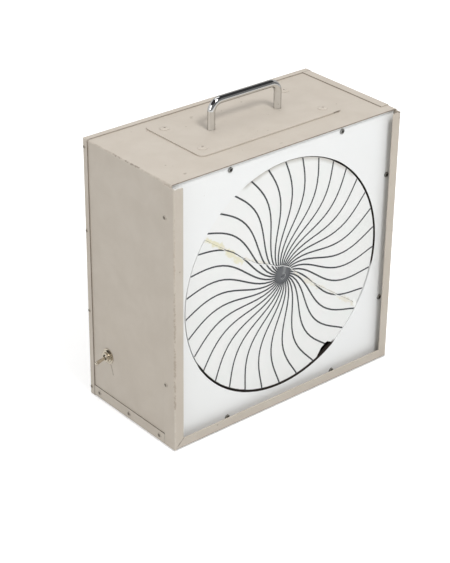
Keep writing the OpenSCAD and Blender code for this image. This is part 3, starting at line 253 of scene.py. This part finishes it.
def make_line_stain():
    """A ragged stain along a straight line from Start to End."""
    tree, have, give = new_group("line_stain", [
        ("Vector", "Vector", None), ("Start", "Vector", (0, 0, 0)), ("End", "Vector", (0, 0, 0.1)),
        ("Width", "Float", 0.003), ("Raggedness", "Float", 0.5), ("Breakup", "Float", 90.0)], "Mask")
    run = vector_calc(tree, "SUBTRACT", have["End"], have["Start"])
    out = vector_calc(tree, "SUBTRACT", have["Vector"], have["Start"])
    share = calc(tree, "DIVIDE", vector_calc(tree, "DOT_PRODUCT", out, run),
                 vector_calc(tree, "DOT_PRODUCT", run, run), clamp=True)
    nearest = vector_calc(tree, "ADD", have["Start"], scaled(tree, run, share))
    away = calc(tree, "DIVIDE", vector_calc(tree, "DISTANCE", have["Vector"], nearest), have["Width"])
    uneven = calc(tree, "SUBTRACT", noise(tree, have["Vector"], have["Breakup"], 4, 0.6), 0.5)
    ragged = calc(tree, "MULTIPLY", uneven, calc(tree, "MULTIPLY", have["Raggedness"], 4.0))
    put(tree, step(tree, calc(tree, "ADD", away, ragged), 1.0, 0.25), give["Mask"])
    return tree


def make_cut_edge():
    """The cut edges near Middle: faces turned away from the front, within Reach."""
    tree, have, give = new_group("cut_edge", [
        ("Vector", "Vector", None), ("Middle", "Vector", (0, 0, 0)), ("Reach", "Float", 0.1)], "Mask")
    split = tree.nodes.new("ShaderNodeSeparateXYZ")
    put(tree, tree.nodes.new("ShaderNodeNewGeometry").outputs["Normal"], split.inputs[0])
    sideways = step(tree, calc(tree, "ABSOLUTE", split.outputs["Y"]), 0.7, 0.4)
    away = vector_calc(tree, "DISTANCE", have["Vector"], have["Middle"])
    put(tree, calc(tree, "MULTIPLY", sideways, calc(tree, "LESS_THAN", away, have["Reach"])), give["Mask"])
    return tree


def make_rim_arc():
    """A soft line along part of a circle.

    Toward points to the middle of the part, Spread is the cosine of its half angle and Core the share of the
    width that is full.
    """
    tree, have, give = new_group("rim_arc", [
        ("Vector", "Vector", None), ("Middle", "Vector", (0, 0, 0)), ("Radius", "Float", 0.15),
        ("Width", "Float", 0.001), ("Toward", "Vector", (0, 0, 1)), ("Spread", "Float", 0.8),
        ("Core", "Float", 0.5)], "Mask")
    out = vector_calc(tree, "SUBTRACT", have["Vector"], have["Middle"])
    away = vector_calc(tree, "LENGTH", out)
    uneven = calc(tree, "ADD", noise(tree, have["Vector"], 60.0, 3, 0.6), 0.4)
    ragged = calc(tree, "MULTIPLY", uneven, have["Width"])
    off_line = calc(tree, "ABSOLUTE", calc(tree, "SUBTRACT", away, have["Radius"]))
    line = step(tree, off_line, ragged, calc(tree, "MULTIPLY", ragged, have["Core"]))
    turned = calc(tree, "DIVIDE", vector_calc(tree, "DOT_PRODUCT", out, have["Toward"]), away)
    inside = step(tree, turned, have["Spread"], calc(tree, "ADD", have["Spread"], 0.05))
    put(tree, calc(tree, "MULTIPLY", line, inside), give["Mask"])
    return tree


def make_head_dirt_and_shade():
    """Dark middle of a low round head that faces along one axis, with a faint ring around it: dirt and painted
    shade in the middles of screw and rivet heads.
    """
    tree, have, give = new_group("head_dirt_and_shade", [("Ring", "Float", 0.15)], "Mask")
    split = tree.nodes.new("ShaderNodeSeparateXYZ")
    normal = tree.nodes.new("ShaderNodeNewGeometry").outputs["Normal"]
    put(tree, vector_calc(tree, "ABSOLUTE", normal), split.inputs[0])
    faced = calc(tree, "MAXIMUM", split.outputs["X"], split.outputs["Y"])
    faced = calc(tree, "MAXIMUM", faced, split.outputs["Z"])
    put(tree, calc(tree, "ADD", step(tree, faced, 0.94, 0.965), have["Ring"], clamp=True), give["Mask"])
    return tree


GROUPS = {tree.name: tree for tree in (
    make_blotches(), make_grain(), make_edge_wear(), make_specks(), make_scratches(), make_dust_and_shade(),
    make_line_stain(), make_cut_edge(), make_rim_arc(), make_head_dirt_and_shade())}


class Finish:
    """The material of one slot, built up in layers on one Principled shader.

    The CAD nodes come with a plain material for each slot, and this gives it a new tree. The shader's constants
    go straight to its own sockets. Colour and roughness start as plain values, and each layer mixes something
    over them.
    """

    def __init__(self, name, colour, roughness, **constants):
        self.tree = bpy.data.materials[name].node_tree
        self.tree.nodes.clear()
        self.shader = self.tree.nodes.new("ShaderNodeBsdfPrincipled")
        surface = self.tree.nodes.new("ShaderNodeOutputMaterial").inputs["Surface"]
        put(self.tree, self.shader.outputs[0], surface)
        self.place = self.tree.nodes.new("ShaderNodeTexCoord").outputs["Object"]
        self.colour = (*colour, 1)
        self.roughness = roughness
        for label, value in constants.items():
            self.shader.inputs[label.replace("_", " ").title().replace("Ior", "IOR")].default_value = value

    def mask(self, group, **inputs):
        """The value of one of the node groups at this place on the surface."""
        node = self.tree.nodes.new("ShaderNodeGroup")
        node.node_tree = GROUPS[group]
        if "Vector" in node.inputs:
            put(self.tree, self.place, node.inputs["Vector"])
        for label, value in inputs.items():
            put(self.tree, value, node.inputs[label])
        return node.outputs[0]

    def grimy_and_shaded_heads(self, colour, roughness=0.6):
        """Dirt and painted shade in the middles of the heads that were given a dark display colour, and a
        little around them.
        """
        tone = self.tree.nodes.new("ShaderNodeSeparateColor")
        put(self.tree, self.tree.nodes.new("ShaderNodeObjectInfo").outputs["Color"], tone.inputs[0])
        darkness = calc(self.tree, "SUBTRACT", 1.0, tone.outputs[0])
        self.layer(calc(self.tree, "MULTIPLY", darkness, self.mask("head_dirt_and_shade")), colour, roughness)

    def layer(self, mask, colour=None, roughness=None, strength=1.0):
        """Mixes a colour and a roughness over what is there."""
        amount = calc(self.tree, "MULTIPLY", mask, strength, clamp=True)
        if colour is not None:
            self.colour = mixed(self.tree, amount, self.colour, (*colour, 1))
        if roughness is not None:
            self.roughness = mixed(self.tree, amount, self.roughness, roughness, "FLOAT")

    def relief(self, height, depth):
        """Raises the surface by a height map times depth, in metres."""
        bump = self.tree.nodes.new("ShaderNodeBump")
        bump.inputs["Distance"].default_value = depth
        bump.inputs["Strength"].default_value = 0.6
        put(self.tree, height, bump.inputs["Height"])
        linked = self.shader.inputs["Normal"].links
        if linked:
            put(self.tree, linked[0].from_socket, bump.inputs["Normal"])
        put(self.tree, bump.outputs["Normal"], self.shader.inputs["Normal"])

    def done(self):
        """Feeds the finished colour and roughness to the shader."""
        put(self.tree, self.colour, self.shader.inputs["Base Color"])
        put(self.tree, self.roughness, self.shader.inputs["Roughness"])


# Case paint

COVER_EDGE_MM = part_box("rear_cover")[0].y * 1000
LAP_TOP_MM = 15.0
LAP_FRONT_MM = -69.0
# Painted shade in the gaps of the seams; along the top's front edge it also stands for the sheet's dark cut
# edge
SEAM_SHADE = (0.13, 0.10, 0.075)
BARE_DARK = (0.10, 0.075, 0.055)
# Lighter rubbed paint; along the edges it is also a painted highlight
RUBBED_AND_HIGHLIGHT = (0.66, 0.62, 0.56)
# Dark grime; it is also the colour of the painted shadow under the switch lever
GRIME_AND_SHADOW = (0.26, 0.22, 0.17)
# Each mark is its start and end in mm, its width in mm, its colour, its strength and how ragged it is
PAINT_MARKS = [
    ((-175, 62, 350), (-175, -80, 350), 2.0, GRIME_AND_SHADOW, 0.32, 0.7),
    ((-175, 24, 350), (-175, -26, 350), 1.6, BARE_DARK, 0.5, 1.0),
    ((-176.2, -89.4, 310), (-176.2, -89.4, 225), 1.5, (0.34, 0.24, 0.18), 0.45, 0.8),
    ((-176.2, -89.4, 215), (-176.2, -89.4, 60), 2.0, (0.30, 0.24, 0.19), 0.6, 0.9),
    ((-176.2, -89.4, 58), (-176.2, -89.4, 1), 1.6, RUBBED_AND_HIGHLIGHT, 0.35, 0.8),
    ((-176.2, -89.4, 2), (-158, -89.4, 3), 1.6, RUBBED_AND_HIGHLIGHT, 0.4, 0.8),
    # A painted highlight on the rounded top of the left lip
    ((-176, -89, 347.5), (-164, -89.4, 347.5), 1.8, (0.74, 0.73, 0.70), 0.8, 0.4),
    ((-172, -89.4, 6), (-162, -89.4, 15), 0.9, (0.20, 0.17, 0.14), 0.8, 0.4),
    # A painted shadow of the switch lever on the left side
    ((-175, 38.5, 60), (-175, 34.5, 48), 1.7, GRIME_AND_SHADOW, 0.7, 0.3),
    ((-145, -69, 350), (-143, -68, 350), 2.2, GRIME_AND_SHADOW, 0.6, 0.6),
    ((-5, -73, 350), (-3, -73, 350), 1.6, GRIME_AND_SHADOW, 0.45, 0.6),
    ((104, -47.7, 351.6), (113, -47.7, 351.6), 1.8, BARE_DARK, 0.75, 0.5),
    ((-42, 47, 351.6), (-39, 49, 351.6), 2.5, GRIME_AND_SHADOW, 0.4, 0.8),
    ((172, -89.4, 347), (175, -89.4, 347), 1.3, BARE_DARK, 0.9, 0.4),
    # Painted shade along the seams at the rear cover's edge, the top's front edge and the laps
    ((-176, COVER_EDGE_MM, 0), (-176, COVER_EDGE_MM, 350), 0.9, SEAM_SHADE, 0.85, 0.15),
    ((-176, COVER_EDGE_MM, 351), (176, COVER_EDGE_MM, 351), 0.9, SEAM_SHADE, 0.5, 0.2),
    ((-174, -83, 349.6), (175, -83, 349.6), 0.8, SEAM_SHADE, 0.85, 0.15),
    ((-175.6, LAP_FRONT_MM, LAP_TOP_MM), (-175.6, COVER_EDGE_MM, LAP_TOP_MM), 0.8, SEAM_SHADE, 0.8, 0.2),
    ((-175.6, LAP_FRONT_MM, LAP_TOP_MM), (-175.6, LAP_FRONT_MM, 0), 0.8, SEAM_SHADE, 0.7, 0.2),
    ((162, LAP_FRONT_MM, 350.6), (162, COVER_EDGE_MM, 350.6), 0.8, SEAM_SHADE, 0.6, 0.2),
]


def case_paint():
    """Thin satin beige paint on steel: faint clouds, rubbed folds, dirt and painted shade in the corners, seams
    and heads, painted highlights on the edges and a painted shadow under the switch lever.
    """
    paint = Finish("case_paint", (0.52, 0.465, 0.398), 0.5, specular_ior_level=0.4)
    paint.layer(paint.mask("soft_blotches", Scale=5.0, Contrast=0.1), (0.54, 0.492, 0.432), 0.44, 0.6)
    paint.layer(paint.mask("soft_blotches", Scale=31.0, Contrast=0.3), (0.462, 0.408, 0.345), 0.58, 0.5)
    rubs = paint.mask("scratches", Stretch=(700.0, 700.0, 16.0), Coverage=0.05)
    paint.layer(rubs, (0.62, 0.58, 0.52), 0.4, 0.35)
    paint.layer(paint.mask("dirt_specks", Scale=190.0, Coverage=0.05), (0.25, 0.21, 0.16), 0.7, 0.6)
    # Lighter rubbed paint on the edges, also a painted highlight along them
    paint.layer(paint.mask("edge_wear", Width=0.0011, Breakup=140.0, Amount=0.75), RUBBED_AND_HIGHLIGHT, 0.4, 0.75)
    # Painted shade with dust in corners and under edges
    paint.layer(paint.mask("corner_dust_and_shade", Reach=0.005, Amount=0.8), (0.17, 0.14, 0.11), 0.75)
    # Dirt and painted shade in the middles of the rivet and screw heads
    paint.grimy_and_shaded_heads((0.13, 0.11, 0.085))
    for start, end, width, colour, strength, ragged in PAINT_MARKS:
        stain = paint.mask("line_stain", Start=mm(*start), End=mm(*end), Width=width / 1000,
                           Raggedness=ragged, Breakup=230.0)
        paint.layer(stain, colour, 0.6, strength)
    paint.relief(paint.mask("fine_grain", Scale=1100.0), 0.00006)
    paint.relief(paint.mask("soft_blotches", Scale=9.0, Contrast=0.0), 0.0005)
    paint.done()


# Panel and disc

DISC_FACE_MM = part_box("ray_disc")[0].y * 1000
DISC_MIDDLE_Z_MM = 175.0
DISC_RADIUS_MM = 152.2
WINDOW_RADIUS_MM = 153.5
# The crack from left to right, as x and z in mm from the disc's middle, the same as in the part's source
CRACK = [(-122.6, 88.3), (-93.7, 67.4), (-63.7, 45.9), (-41.3, 30.9), (-23.8, 24.4), (-11.3, 17.9),
         (-1.3, 15.9), (11.2, 9.5), (17.1, 2.5), (56.1, -30.5), (90, -55.4), (122, -78.6)]
GLUE = (0.72, 0.68, 0.46)
PALE_GLUE = (0.72, 0.68, 0.58)
FRESH_CHIP = (0.88, 0.88, 0.86)
# Each glue mark is x0, z0, x1, z1 and width in mm, colour and strength
GLUE_MARKS = [
    (-119, 87.5, -97, 70, 4.2, GLUE, 0.8), (-97, 71, -86, 61, 2.2, PALE_GLUE, 0.6),
    (-88, 62, -66, 41.5, 4.8, GLUE, 0.7), (-64, 45, -26, 26, 2.0, PALE_GLUE, 0.6),
    (15, 2, 57, -34, 3.6, PALE_GLUE, 0.7), (58, -32, 93, -58, 2.2, PALE_GLUE, 0.5),
    (92, -60, 124, -81, 4.4, PALE_GLUE, 0.7), (123, -77, 128, -86, 3.4, FRESH_CHIP, 1.0)]
# Painted shade of the dark gap at the rim
RIM_SHADE = (0.03, 0.021, 0.016)
# Each arc of painted shade is its middle and half its spread in degrees, and how heavy it is
RIM_SHADE_ARCS = [(-102, 49.5, 1.5), (24, 38, 0.8)]


def on_disc(x, z, forward=0.0):
    """A point of the disc's face from its place in mm beside the disc's middle."""
    return mm(x, DISC_FACE_MM - forward, DISC_MIDDLE_Z_MM + z)


def shade_rim(finish, radius_mm, width_mm):
    """Painted shade: darkens the cut edges at the window and a line beside them along two arcs, where the gap
    between the disc and the window is dark.
    """
    middle = mm(0, DISC_FACE_MM, DISC_MIDDLE_Z_MM)
    edges = finish.mask("cut_edge", Middle=middle, Reach=(WINDOW_RADIUS_MM + 3.5) / 1000)
    for degrees, spread, weight in RIM_SHADE_ARCS:
        place = dict(Middle=middle, Radius=radius_mm / 1000, Spread=math.cos(math.radians(spread)),
                     Toward=(math.cos(math.radians(degrees)), 0, math.sin(math.radians(degrees))))
        near = finish.mask("rim_arc", Width=0.03, **place)
        finish.layer(calc(finish.tree, "MULTIPLY", edges, near), RIM_SHADE, 0.8)
        finish.layer(finish.mask("rim_arc", Width=width_mm * weight / 1000, **place), RIM_SHADE, 0.8)


def opal_acrylic():
    """White acrylic sheet with a soft gloss, a few dirt specks, and painted shade near the lips and along the
    window's edge.
    """
    sheet = Finish("opal_acrylic", (0.80, 0.805, 0.797), 0.3, specular_ior_level=0.5, coat_weight=0.15)
    sheet.layer(sheet.mask("soft_blotches", Scale=7.0, Contrast=0.0), (0.81, 0.82, 0.825), 0.36, 0.7)
    sheet.layer(sheet.mask("dirt_specks", Scale=120.0, Coverage=0.03), (0.5, 0.46, 0.38), 0.5, 0.35)
    # Painted shade with a little dust near the lips
    sheet.layer(sheet.mask("corner_dust_and_shade", Reach=0.005, Amount=0.15), (0.5, 0.48, 0.44), 0.6)
    # Painted shade along the window's edge
    shade_rim(sheet, WINDOW_RADIUS_MM, 0.5)
    sheet.relief(sheet.mask("fine_grain", Scale=300.0), 0.00002)
    sheet.done()


def disc_white():
    """White sheet with faint blotches, yellowed glue along the crack, a painted shadow below the window's upper
    edge and painted shade along the rim.
    """
    white = Finish("disc_white", (0.80, 0.806, 0.796), 0.5, specular_ior_level=0.4)
    white.layer(white.mask("soft_blotches", Scale=16.0, Contrast=0.3), (0.765, 0.785, 0.765), 0.55, 0.8)
    white.layer(white.mask("soft_blotches", Scale=38.0, Contrast=0.5), (0.82, 0.80, 0.795), 0.45, 0.5)
    white.layer(white.mask("dirt_specks", Scale=150.0, Coverage=0.04), (0.52, 0.48, 0.38), 0.6, 0.3)
    for x0, z0, x1, z1, width, colour, strength in GLUE_MARKS:
        stain = white.mask("line_stain", Start=on_disc(x0, z0), End=on_disc(x1, z1), Width=width / 1000,
                           Raggedness=0.9, Breakup=110.0)
        white.layer(stain, colour, 0.35, strength)
    # A painted shadow of the window's upper edge on the disc
    shade = white.mask("rim_arc", Middle=on_disc(0, 0), Radius=0.1525, Width=0.008, Toward=(0.19, 0, 0.98),
                       Spread=0.78, Core=0.0)
    white.layer(shade, (0.50, 0.48, 0.44), 0.5, 0.9)
    # Painted shade along the rim
    shade_rim(white, DISC_RADIUS_MM, 1.3)
    white.relief(white.mask("fine_grain", Scale=500.0), 0.00003)
    white.done()


def plain_finish(name, colour, roughness, darker, grain, depth, **constants):
    """A finish for a small or inner part: blotches, painted shade with dust in the corners and a fine grain."""
    finish = Finish(name, colour, roughness, **constants)
    finish.layer(finish.mask("soft_blotches", Scale=90.0, Contrast=0.5), darker, roughness + 0.1, 0.6)
    # Painted shade with dust in the corners
    finish.layer(finish.mask("corner_dust_and_shade", Reach=0.003, Amount=0.7), tuple(c * 0.3 for c in colour), 0.8)
    finish.relief(finish.mask("fine_grain", Scale=grain), depth)
    finish.done()


def worn_metal(name, colour, roughness, stretch, dulling):
    """A metal with marks along one direction, rubbed edges, and dirt with painted shade in its corners and in
    the middles of heads.
    """
    metal = Finish(name, colour, roughness, metallic=1.0)
    dull = tuple(c * dulling for c in colour)
    metal.layer(metal.mask("soft_blotches", Scale=110.0, Contrast=0.5), dull, roughness + 0.15, 0.6)
    metal.layer(metal.mask("scratches", Stretch=stretch, Coverage=0.35), dull, roughness + 0.2, 0.5)
    metal.layer(metal.mask("edge_wear", Width=0.0004, Breakup=400.0, Amount=0.9),
                tuple(min(1.0, c * 1.2) for c in colour), roughness * 0.7, 0.5)
    # Painted shade with dirt in the corners
    metal.layer(metal.mask("corner_dust_and_shade", Reach=0.0025, Amount=0.85), (0.05, 0.045, 0.04), 0.8)
    # Dirt and painted shade in the middles of heads
    metal.grimy_and_shaded_heads((0.06, 0.055, 0.05))
    metal.relief(metal.mask("fine_grain", Scale=2200.0), 0.00001)
    metal.done()


def handle_chrome():
    """Bright chrome with light smears, a little grime and painted shade where the legs meet the plate, and a
    painted dark reflection towards grazing angles.
    """
    chrome = Finish("handle_chrome", (0.78, 0.78, 0.77), 0.05, metallic=1.0)
    chrome.layer(chrome.mask("soft_blotches", Scale=60.0, Contrast=0.6), (0.78, 0.78, 0.78), 0.12, 0.6)
    hairlines = chrome.mask("scratches", Stretch=(20.0, 1500.0, 1500.0), Coverage=0.25)
    chrome.layer(hairlines, (0.7, 0.7, 0.7), 0.25, 0.4)
    chrome.layer(chrome.mask("dirt_specks", Scale=420.0, Coverage=0.06), (0.25, 0.23, 0.2), 0.4, 0.6)
    # Painted shade with grime where the legs meet the plate
    chrome.layer(chrome.mask("corner_dust_and_shade", Reach=0.003, Amount=0.7), (0.2, 0.17, 0.13), 0.6)
    # A painted dark reflection: the colour darkens towards grazing angles, standing in for dark surroundings
    painted_dark_reflection = chrome.tree.nodes.new("ShaderNodeLayerWeight").outputs["Facing"]
    chrome.layer(step(chrome.tree, painted_dark_reflection, 0.3, 0.8), (0.22, 0.21, 0.19), 0.1, 0.85)
    chrome.done()


def ray_ink():
    """Flat black ink of the rays, painted lighter grey in the middle where they run together as a painted glare
    highlight, with a painted highlight streak above the middle.
    """
    ink = Finish("ray_ink", (0.045, 0.048, 0.053), 0.55, specular_ior_level=0.35)
    ink.layer(ink.mask("soft_blotches", Scale=60.0, Contrast=0.4), (0.07, 0.072, 0.078), 0.6, 0.7)
    ink.layer(ink.mask("dirt_specks", Scale=500.0, Coverage=0.08), (0.25, 0.25, 0.25), 0.6, 0.35)
    # A painted glare highlight: the ink is lighter grey in the middle
    middle = ink.mask("line_stain", Width=0.019, Raggedness=0.12, Breakup=200.0, Start=on_disc(-1.5, 3),
                      End=on_disc(-1.4, 3.1))
    ink.layer(middle, (0.125, 0.13, 0.138), 0.6)
    # A painted highlight: a paler streak just above the middle
    painted_highlight_streak = ink.mask("line_stain", Width=0.0035, Raggedness=0.5, Breakup=400.0, Start=on_disc(1, 5),
                         End=on_disc(2, 11))
    ink.layer(painted_highlight_streak, (0.27, 0.275, 0.28), 0.5, 0.6)
    ink.relief(ink.mask("fine_grain", Scale=900.0), 0.00001)
    ink.done()


ALONG_X = (14.0, 1400.0, 1400.0)
ALONG_Y = (1400.0, 14.0, 1400.0)
ALONG_Z = (1400.0, 1400.0, 14.0)
# Each metal is its slot, colour, roughness, the way its marks run and how much colour it keeps where it is dull
METALS = [
    ("nickel", (0.70, 0.63, 0.52), 0.18, ALONG_X, 0.72),
    ("zinc_steel", (0.52, 0.52, 0.50), 0.38, ALONG_Z, 0.72),
    ("dark_steel", (0.10, 0.10, 0.105), 0.45, ALONG_Z, 0.72),
    ("bright_steel", (0.68, 0.69, 0.70), 0.2, ALONG_Y, 0.72),
    ("galvanised", (0.55, 0.56, 0.57), 0.42, ALONG_X, 0.8),
    ("passivated", (0.68, 0.60, 0.36), 0.34, ALONG_Z, 0.85),
    ("bronze", (0.58, 0.38, 0.17), 0.38, ALONG_Y, 0.72),
    ("brass_parts", (0.78, 0.60, 0.27), 0.28, ALONG_X, 0.72),
    ("copper", (0.66, 0.27, 0.11), 0.3, ALONG_Y, 0.72),
    ("aluminium", (0.70, 0.71, 0.72), 0.3, ALONG_Y, 0.72),
]
# Each plastic is its slot, colour, roughness, darker colour, and the scale and depth of its grain
PLASTICS = [
    ("acetal", (0.76, 0.73, 0.62), 0.4, (0.70, 0.66, 0.54), 600.0, 0.00002),
    ("black_plastic", (0.022, 0.022, 0.023), 0.42, (0.03, 0.03, 0.03), 1200.0, 0.00003),
    ("cream_plastic", (0.70, 0.65, 0.52), 0.4, (0.64, 0.58, 0.44), 900.0, 0.00003),
    ("pad_rubber", (0.05, 0.048, 0.045), 0.8, (0.07, 0.066, 0.06), 1500.0, 0.00008),
    ("lead_brown", (0.10, 0.045, 0.02), 0.4, (0.07, 0.03, 0.015), 1500.0, 0.00002),
    ("lead_black", (0.02, 0.02, 0.02), 0.4, (0.03, 0.03, 0.03), 1500.0, 0.00002),
    ("lead_green", (0.06, 0.22, 0.04), 0.4, (0.05, 0.16, 0.03), 1500.0, 0.00002),
]

case_paint()
opal_acrylic()
disc_white()
handle_chrome()
ray_ink()
for metal in METALS:
    worn_metal(*metal)
plain_finish("laminations", (0.10, 0.11, 0.12), 0.4, (0.06, 0.06, 0.07), 700.0, 0.00004, metallic=0.4)
for plastic in PLASTICS:
    plain_finish(*plastic)

# How dark the dirt and painted shade on the heads of screws and rivets is: 0 is darkest
HEAD_DIRT_AND_SHADE_TONES = {"frame_rivets": 0.1, "lap_rivets": 0.1, "front_panel_screws": 0.0, "rear_cover_screws": 0.1}
for name, tone in HEAD_DIRT_AND_SHADE_TONES.items():
    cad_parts[name].color = (tone, tone, tone, 1)


# The crack: a dark strip of painted shade where the halves meet, and a low bead of glue beside it

POINT_SPACING_MM = 3
WANDER_MM = 0.25
EDGE_LIFT_MM = 0.02


def crack_path():
    """The crack's points, closer together than in CRACK."""
    path = []
    for (x0, z0), (x1, z1) in zip(CRACK, CRACK[1:]):
        steps = max(2, int(math.hypot(x1 - x0, z1 - z0) / POINT_SPACING_MM))
        path += [(x0 + (x1 - x0) * k / steps, z0 + (z1 - z0) * k / steps) for k in range(steps)]
    return path + [CRACK[-1]]


def ribbon(name, half_widths, offset, rise, slot):
    """A thin strip along the crack that lies on the disc's face, with a raised middle; sizes are in mm."""
    random.seed(name)
    path = crack_path()
    points, faces = [], []
    for i, (x, z) in enumerate(path):
        before, after = path[max(0, i - 1)], path[min(len(path) - 1, i + 1)]
        length = math.hypot(after[0] - before[0], after[1] - before[1])
        side = ((before[1] - after[1]) / length, (after[0] - before[0]) / length)
        half = random.uniform(*half_widths)
        wander = offset + random.uniform(-WANDER_MM, WANDER_MM)
        for share, lift in ((-1, EDGE_LIFT_MM), (0, rise), (1, EDGE_LIFT_MM)):
            away = wander + share * half
            points.append(on_disc(x + side[0] * away, z + side[1] * away, lift))
    for i in range(len(path) - 1):
        for k in (0, 1):
            a = i * 3 + k
            faces.append((a, a + 1, a + 4, a + 3))
    mesh = bpy.data.meshes.new(name)
    mesh.from_pydata(points, [], faces)
    mesh.materials.append(bpy.data.materials[slot])
    mesh.polygons.foreach_set("use_smooth", [True] * len(mesh.polygons))
    strip = bpy.data.objects.new(name, mesh)
    bpy.context.scene.collection.objects.link(strip)
    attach(strip, "disc")
    return strip


# The dark strip is painted shade in the crack
ribbon("crack_line", (0.06, 0.2), 0.0, 0.17, "ray_ink")
ribbon("glue_bead", (0.5, 1.3), -1.1, 0.25, "disc_white")


# Floor and light

FLOOR_REACH = 7
FLOOR_GAP = 0.0006


def white_floor():
    """A pale floor: white to the camera and shadowed by the object.

    It is clear from below, and to the object's own underside, which would be black otherwise.
    """
    reach = FLOOR_REACH
    mesh = bpy.data.meshes.new("floor")
    mesh.from_pydata([(-reach, -reach, 0), (reach, -reach, 0), (reach, reach, 0), (-reach, reach, 0)], [],
                     [(0, 1, 2, 3)])
    material = bpy.data.materials.new("pale_floor")
    material.use_nodes = True
    tree = material.node_tree
    shader = next(n for n in tree.nodes if n.type == "BSDF_PRINCIPLED")
    shader.inputs["Roughness"].default_value = 0.9
    shader.inputs["Specular IOR Level"].default_value = 0.0
    shader.inputs["Emission Strength"].default_value = 1.0
    rays = tree.nodes.new("ShaderNodeLightPath").outputs
    unseen = mixed(tree, rays["Is Glossy Ray"], (0.70, 0.70, 0.69, 1), (0.72, 0.72, 0.71, 1))
    put(tree, mixed(tree, rays["Is Camera Ray"], unseen, (1, 1, 1, 1)), shader.inputs["Base Color"])
    glow = mixed(tree, rays["Is Camera Ray"], (0, 0, 0, 1), (0.22, 0.22, 0.22, 1))
    put(tree, glow, shader.inputs["Emission Color"])
    seen_below = tree.nodes.new("ShaderNodeNewGeometry").outputs["Backfacing"]
    own_underside = calc(tree, "LESS_THAN", rays["Ray Length"], 0.002)
    clear = tree.nodes.new("ShaderNodeMixShader")
    put(tree, calc(tree, "MAXIMUM", seen_below, own_underside), clear.inputs[0])
    put(tree, shader.outputs[0], clear.inputs[1])
    put(tree, tree.nodes.new("ShaderNodeBsdfTransparent").outputs[0], clear.inputs[2])
    put(tree, clear.outputs[0], next(n for n in tree.nodes if n.type == "OUTPUT_MATERIAL").inputs["Surface"])
    mesh.materials.append(material)
    floor = bpy.data.objects.new("floor", mesh)
    floor.location.z = cad_box[0][2] - FLOOR_GAP
    bpy.context.scene.collection.objects.link(floor)


def studio_world():
    """Even white surroundings; glossy rays see a darker ceiling, which gives the chrome its dark streak."""
    world = bpy.data.worlds.new("studio")
    world.use_nodes = True
    bpy.context.scene.world = world
    tree = world.node_tree
    background = next(n for n in tree.nodes if n.type == "BACKGROUND")
    rays = tree.nodes.new("ShaderNodeLightPath").outputs
    split = tree.nodes.new("ShaderNodeSeparateXYZ")
    put(tree, tree.nodes.new("ShaderNodeTexCoord").outputs["Generated"], split.inputs[0])
    ceiling = step(tree, split.outputs["Z"], 0.50, 0.63)
    front_wall = step(tree, split.outputs["Y"], 0.1, -0.35)
    walls = mixed(tree, front_wall, (0.92, 0.92, 0.93, 1), (0.24, 0.24, 0.24, 1))
    seen_in_gloss = mixed(tree, ceiling, walls, (0.05, 0.05, 0.053, 1))
    lit = mixed(tree, rays["Is Glossy Ray"], (0.88, 0.885, 0.89, 1), seen_in_gloss)
    put(tree, mixed(tree, rays["Is Camera Ray"], lit, (1.25, 1.25, 1.25, 1)), background.inputs["Color"])
    background.inputs["Strength"].default_value = 0.79


def soft_light(name, place, aim, size, power):
    """One large square area light."""
    data = bpy.data.lights.new(name, "AREA")
    data.size = size
    data.energy = power
    light = bpy.data.objects.new(name, data)
    light.location = place
    light.rotation_euler = (Vector(aim) - Vector(place)).to_track_quat("-Z", "Y").to_euler()
    bpy.context.scene.collection.objects.link(light)


white_floor()
studio_world()
soft_light("key_light", (-0.1, -1.8, 2.6), (0, 0, 0.3), 0.7, 45)
soft_light("side_light", (-2.6, -0.3, 1.3), (0, 0, 0.2), 1.4, 14)
soft_light("top_light", (0.4, 1.0, 2.8), (0, 0, 0.3), 1.6, 9)
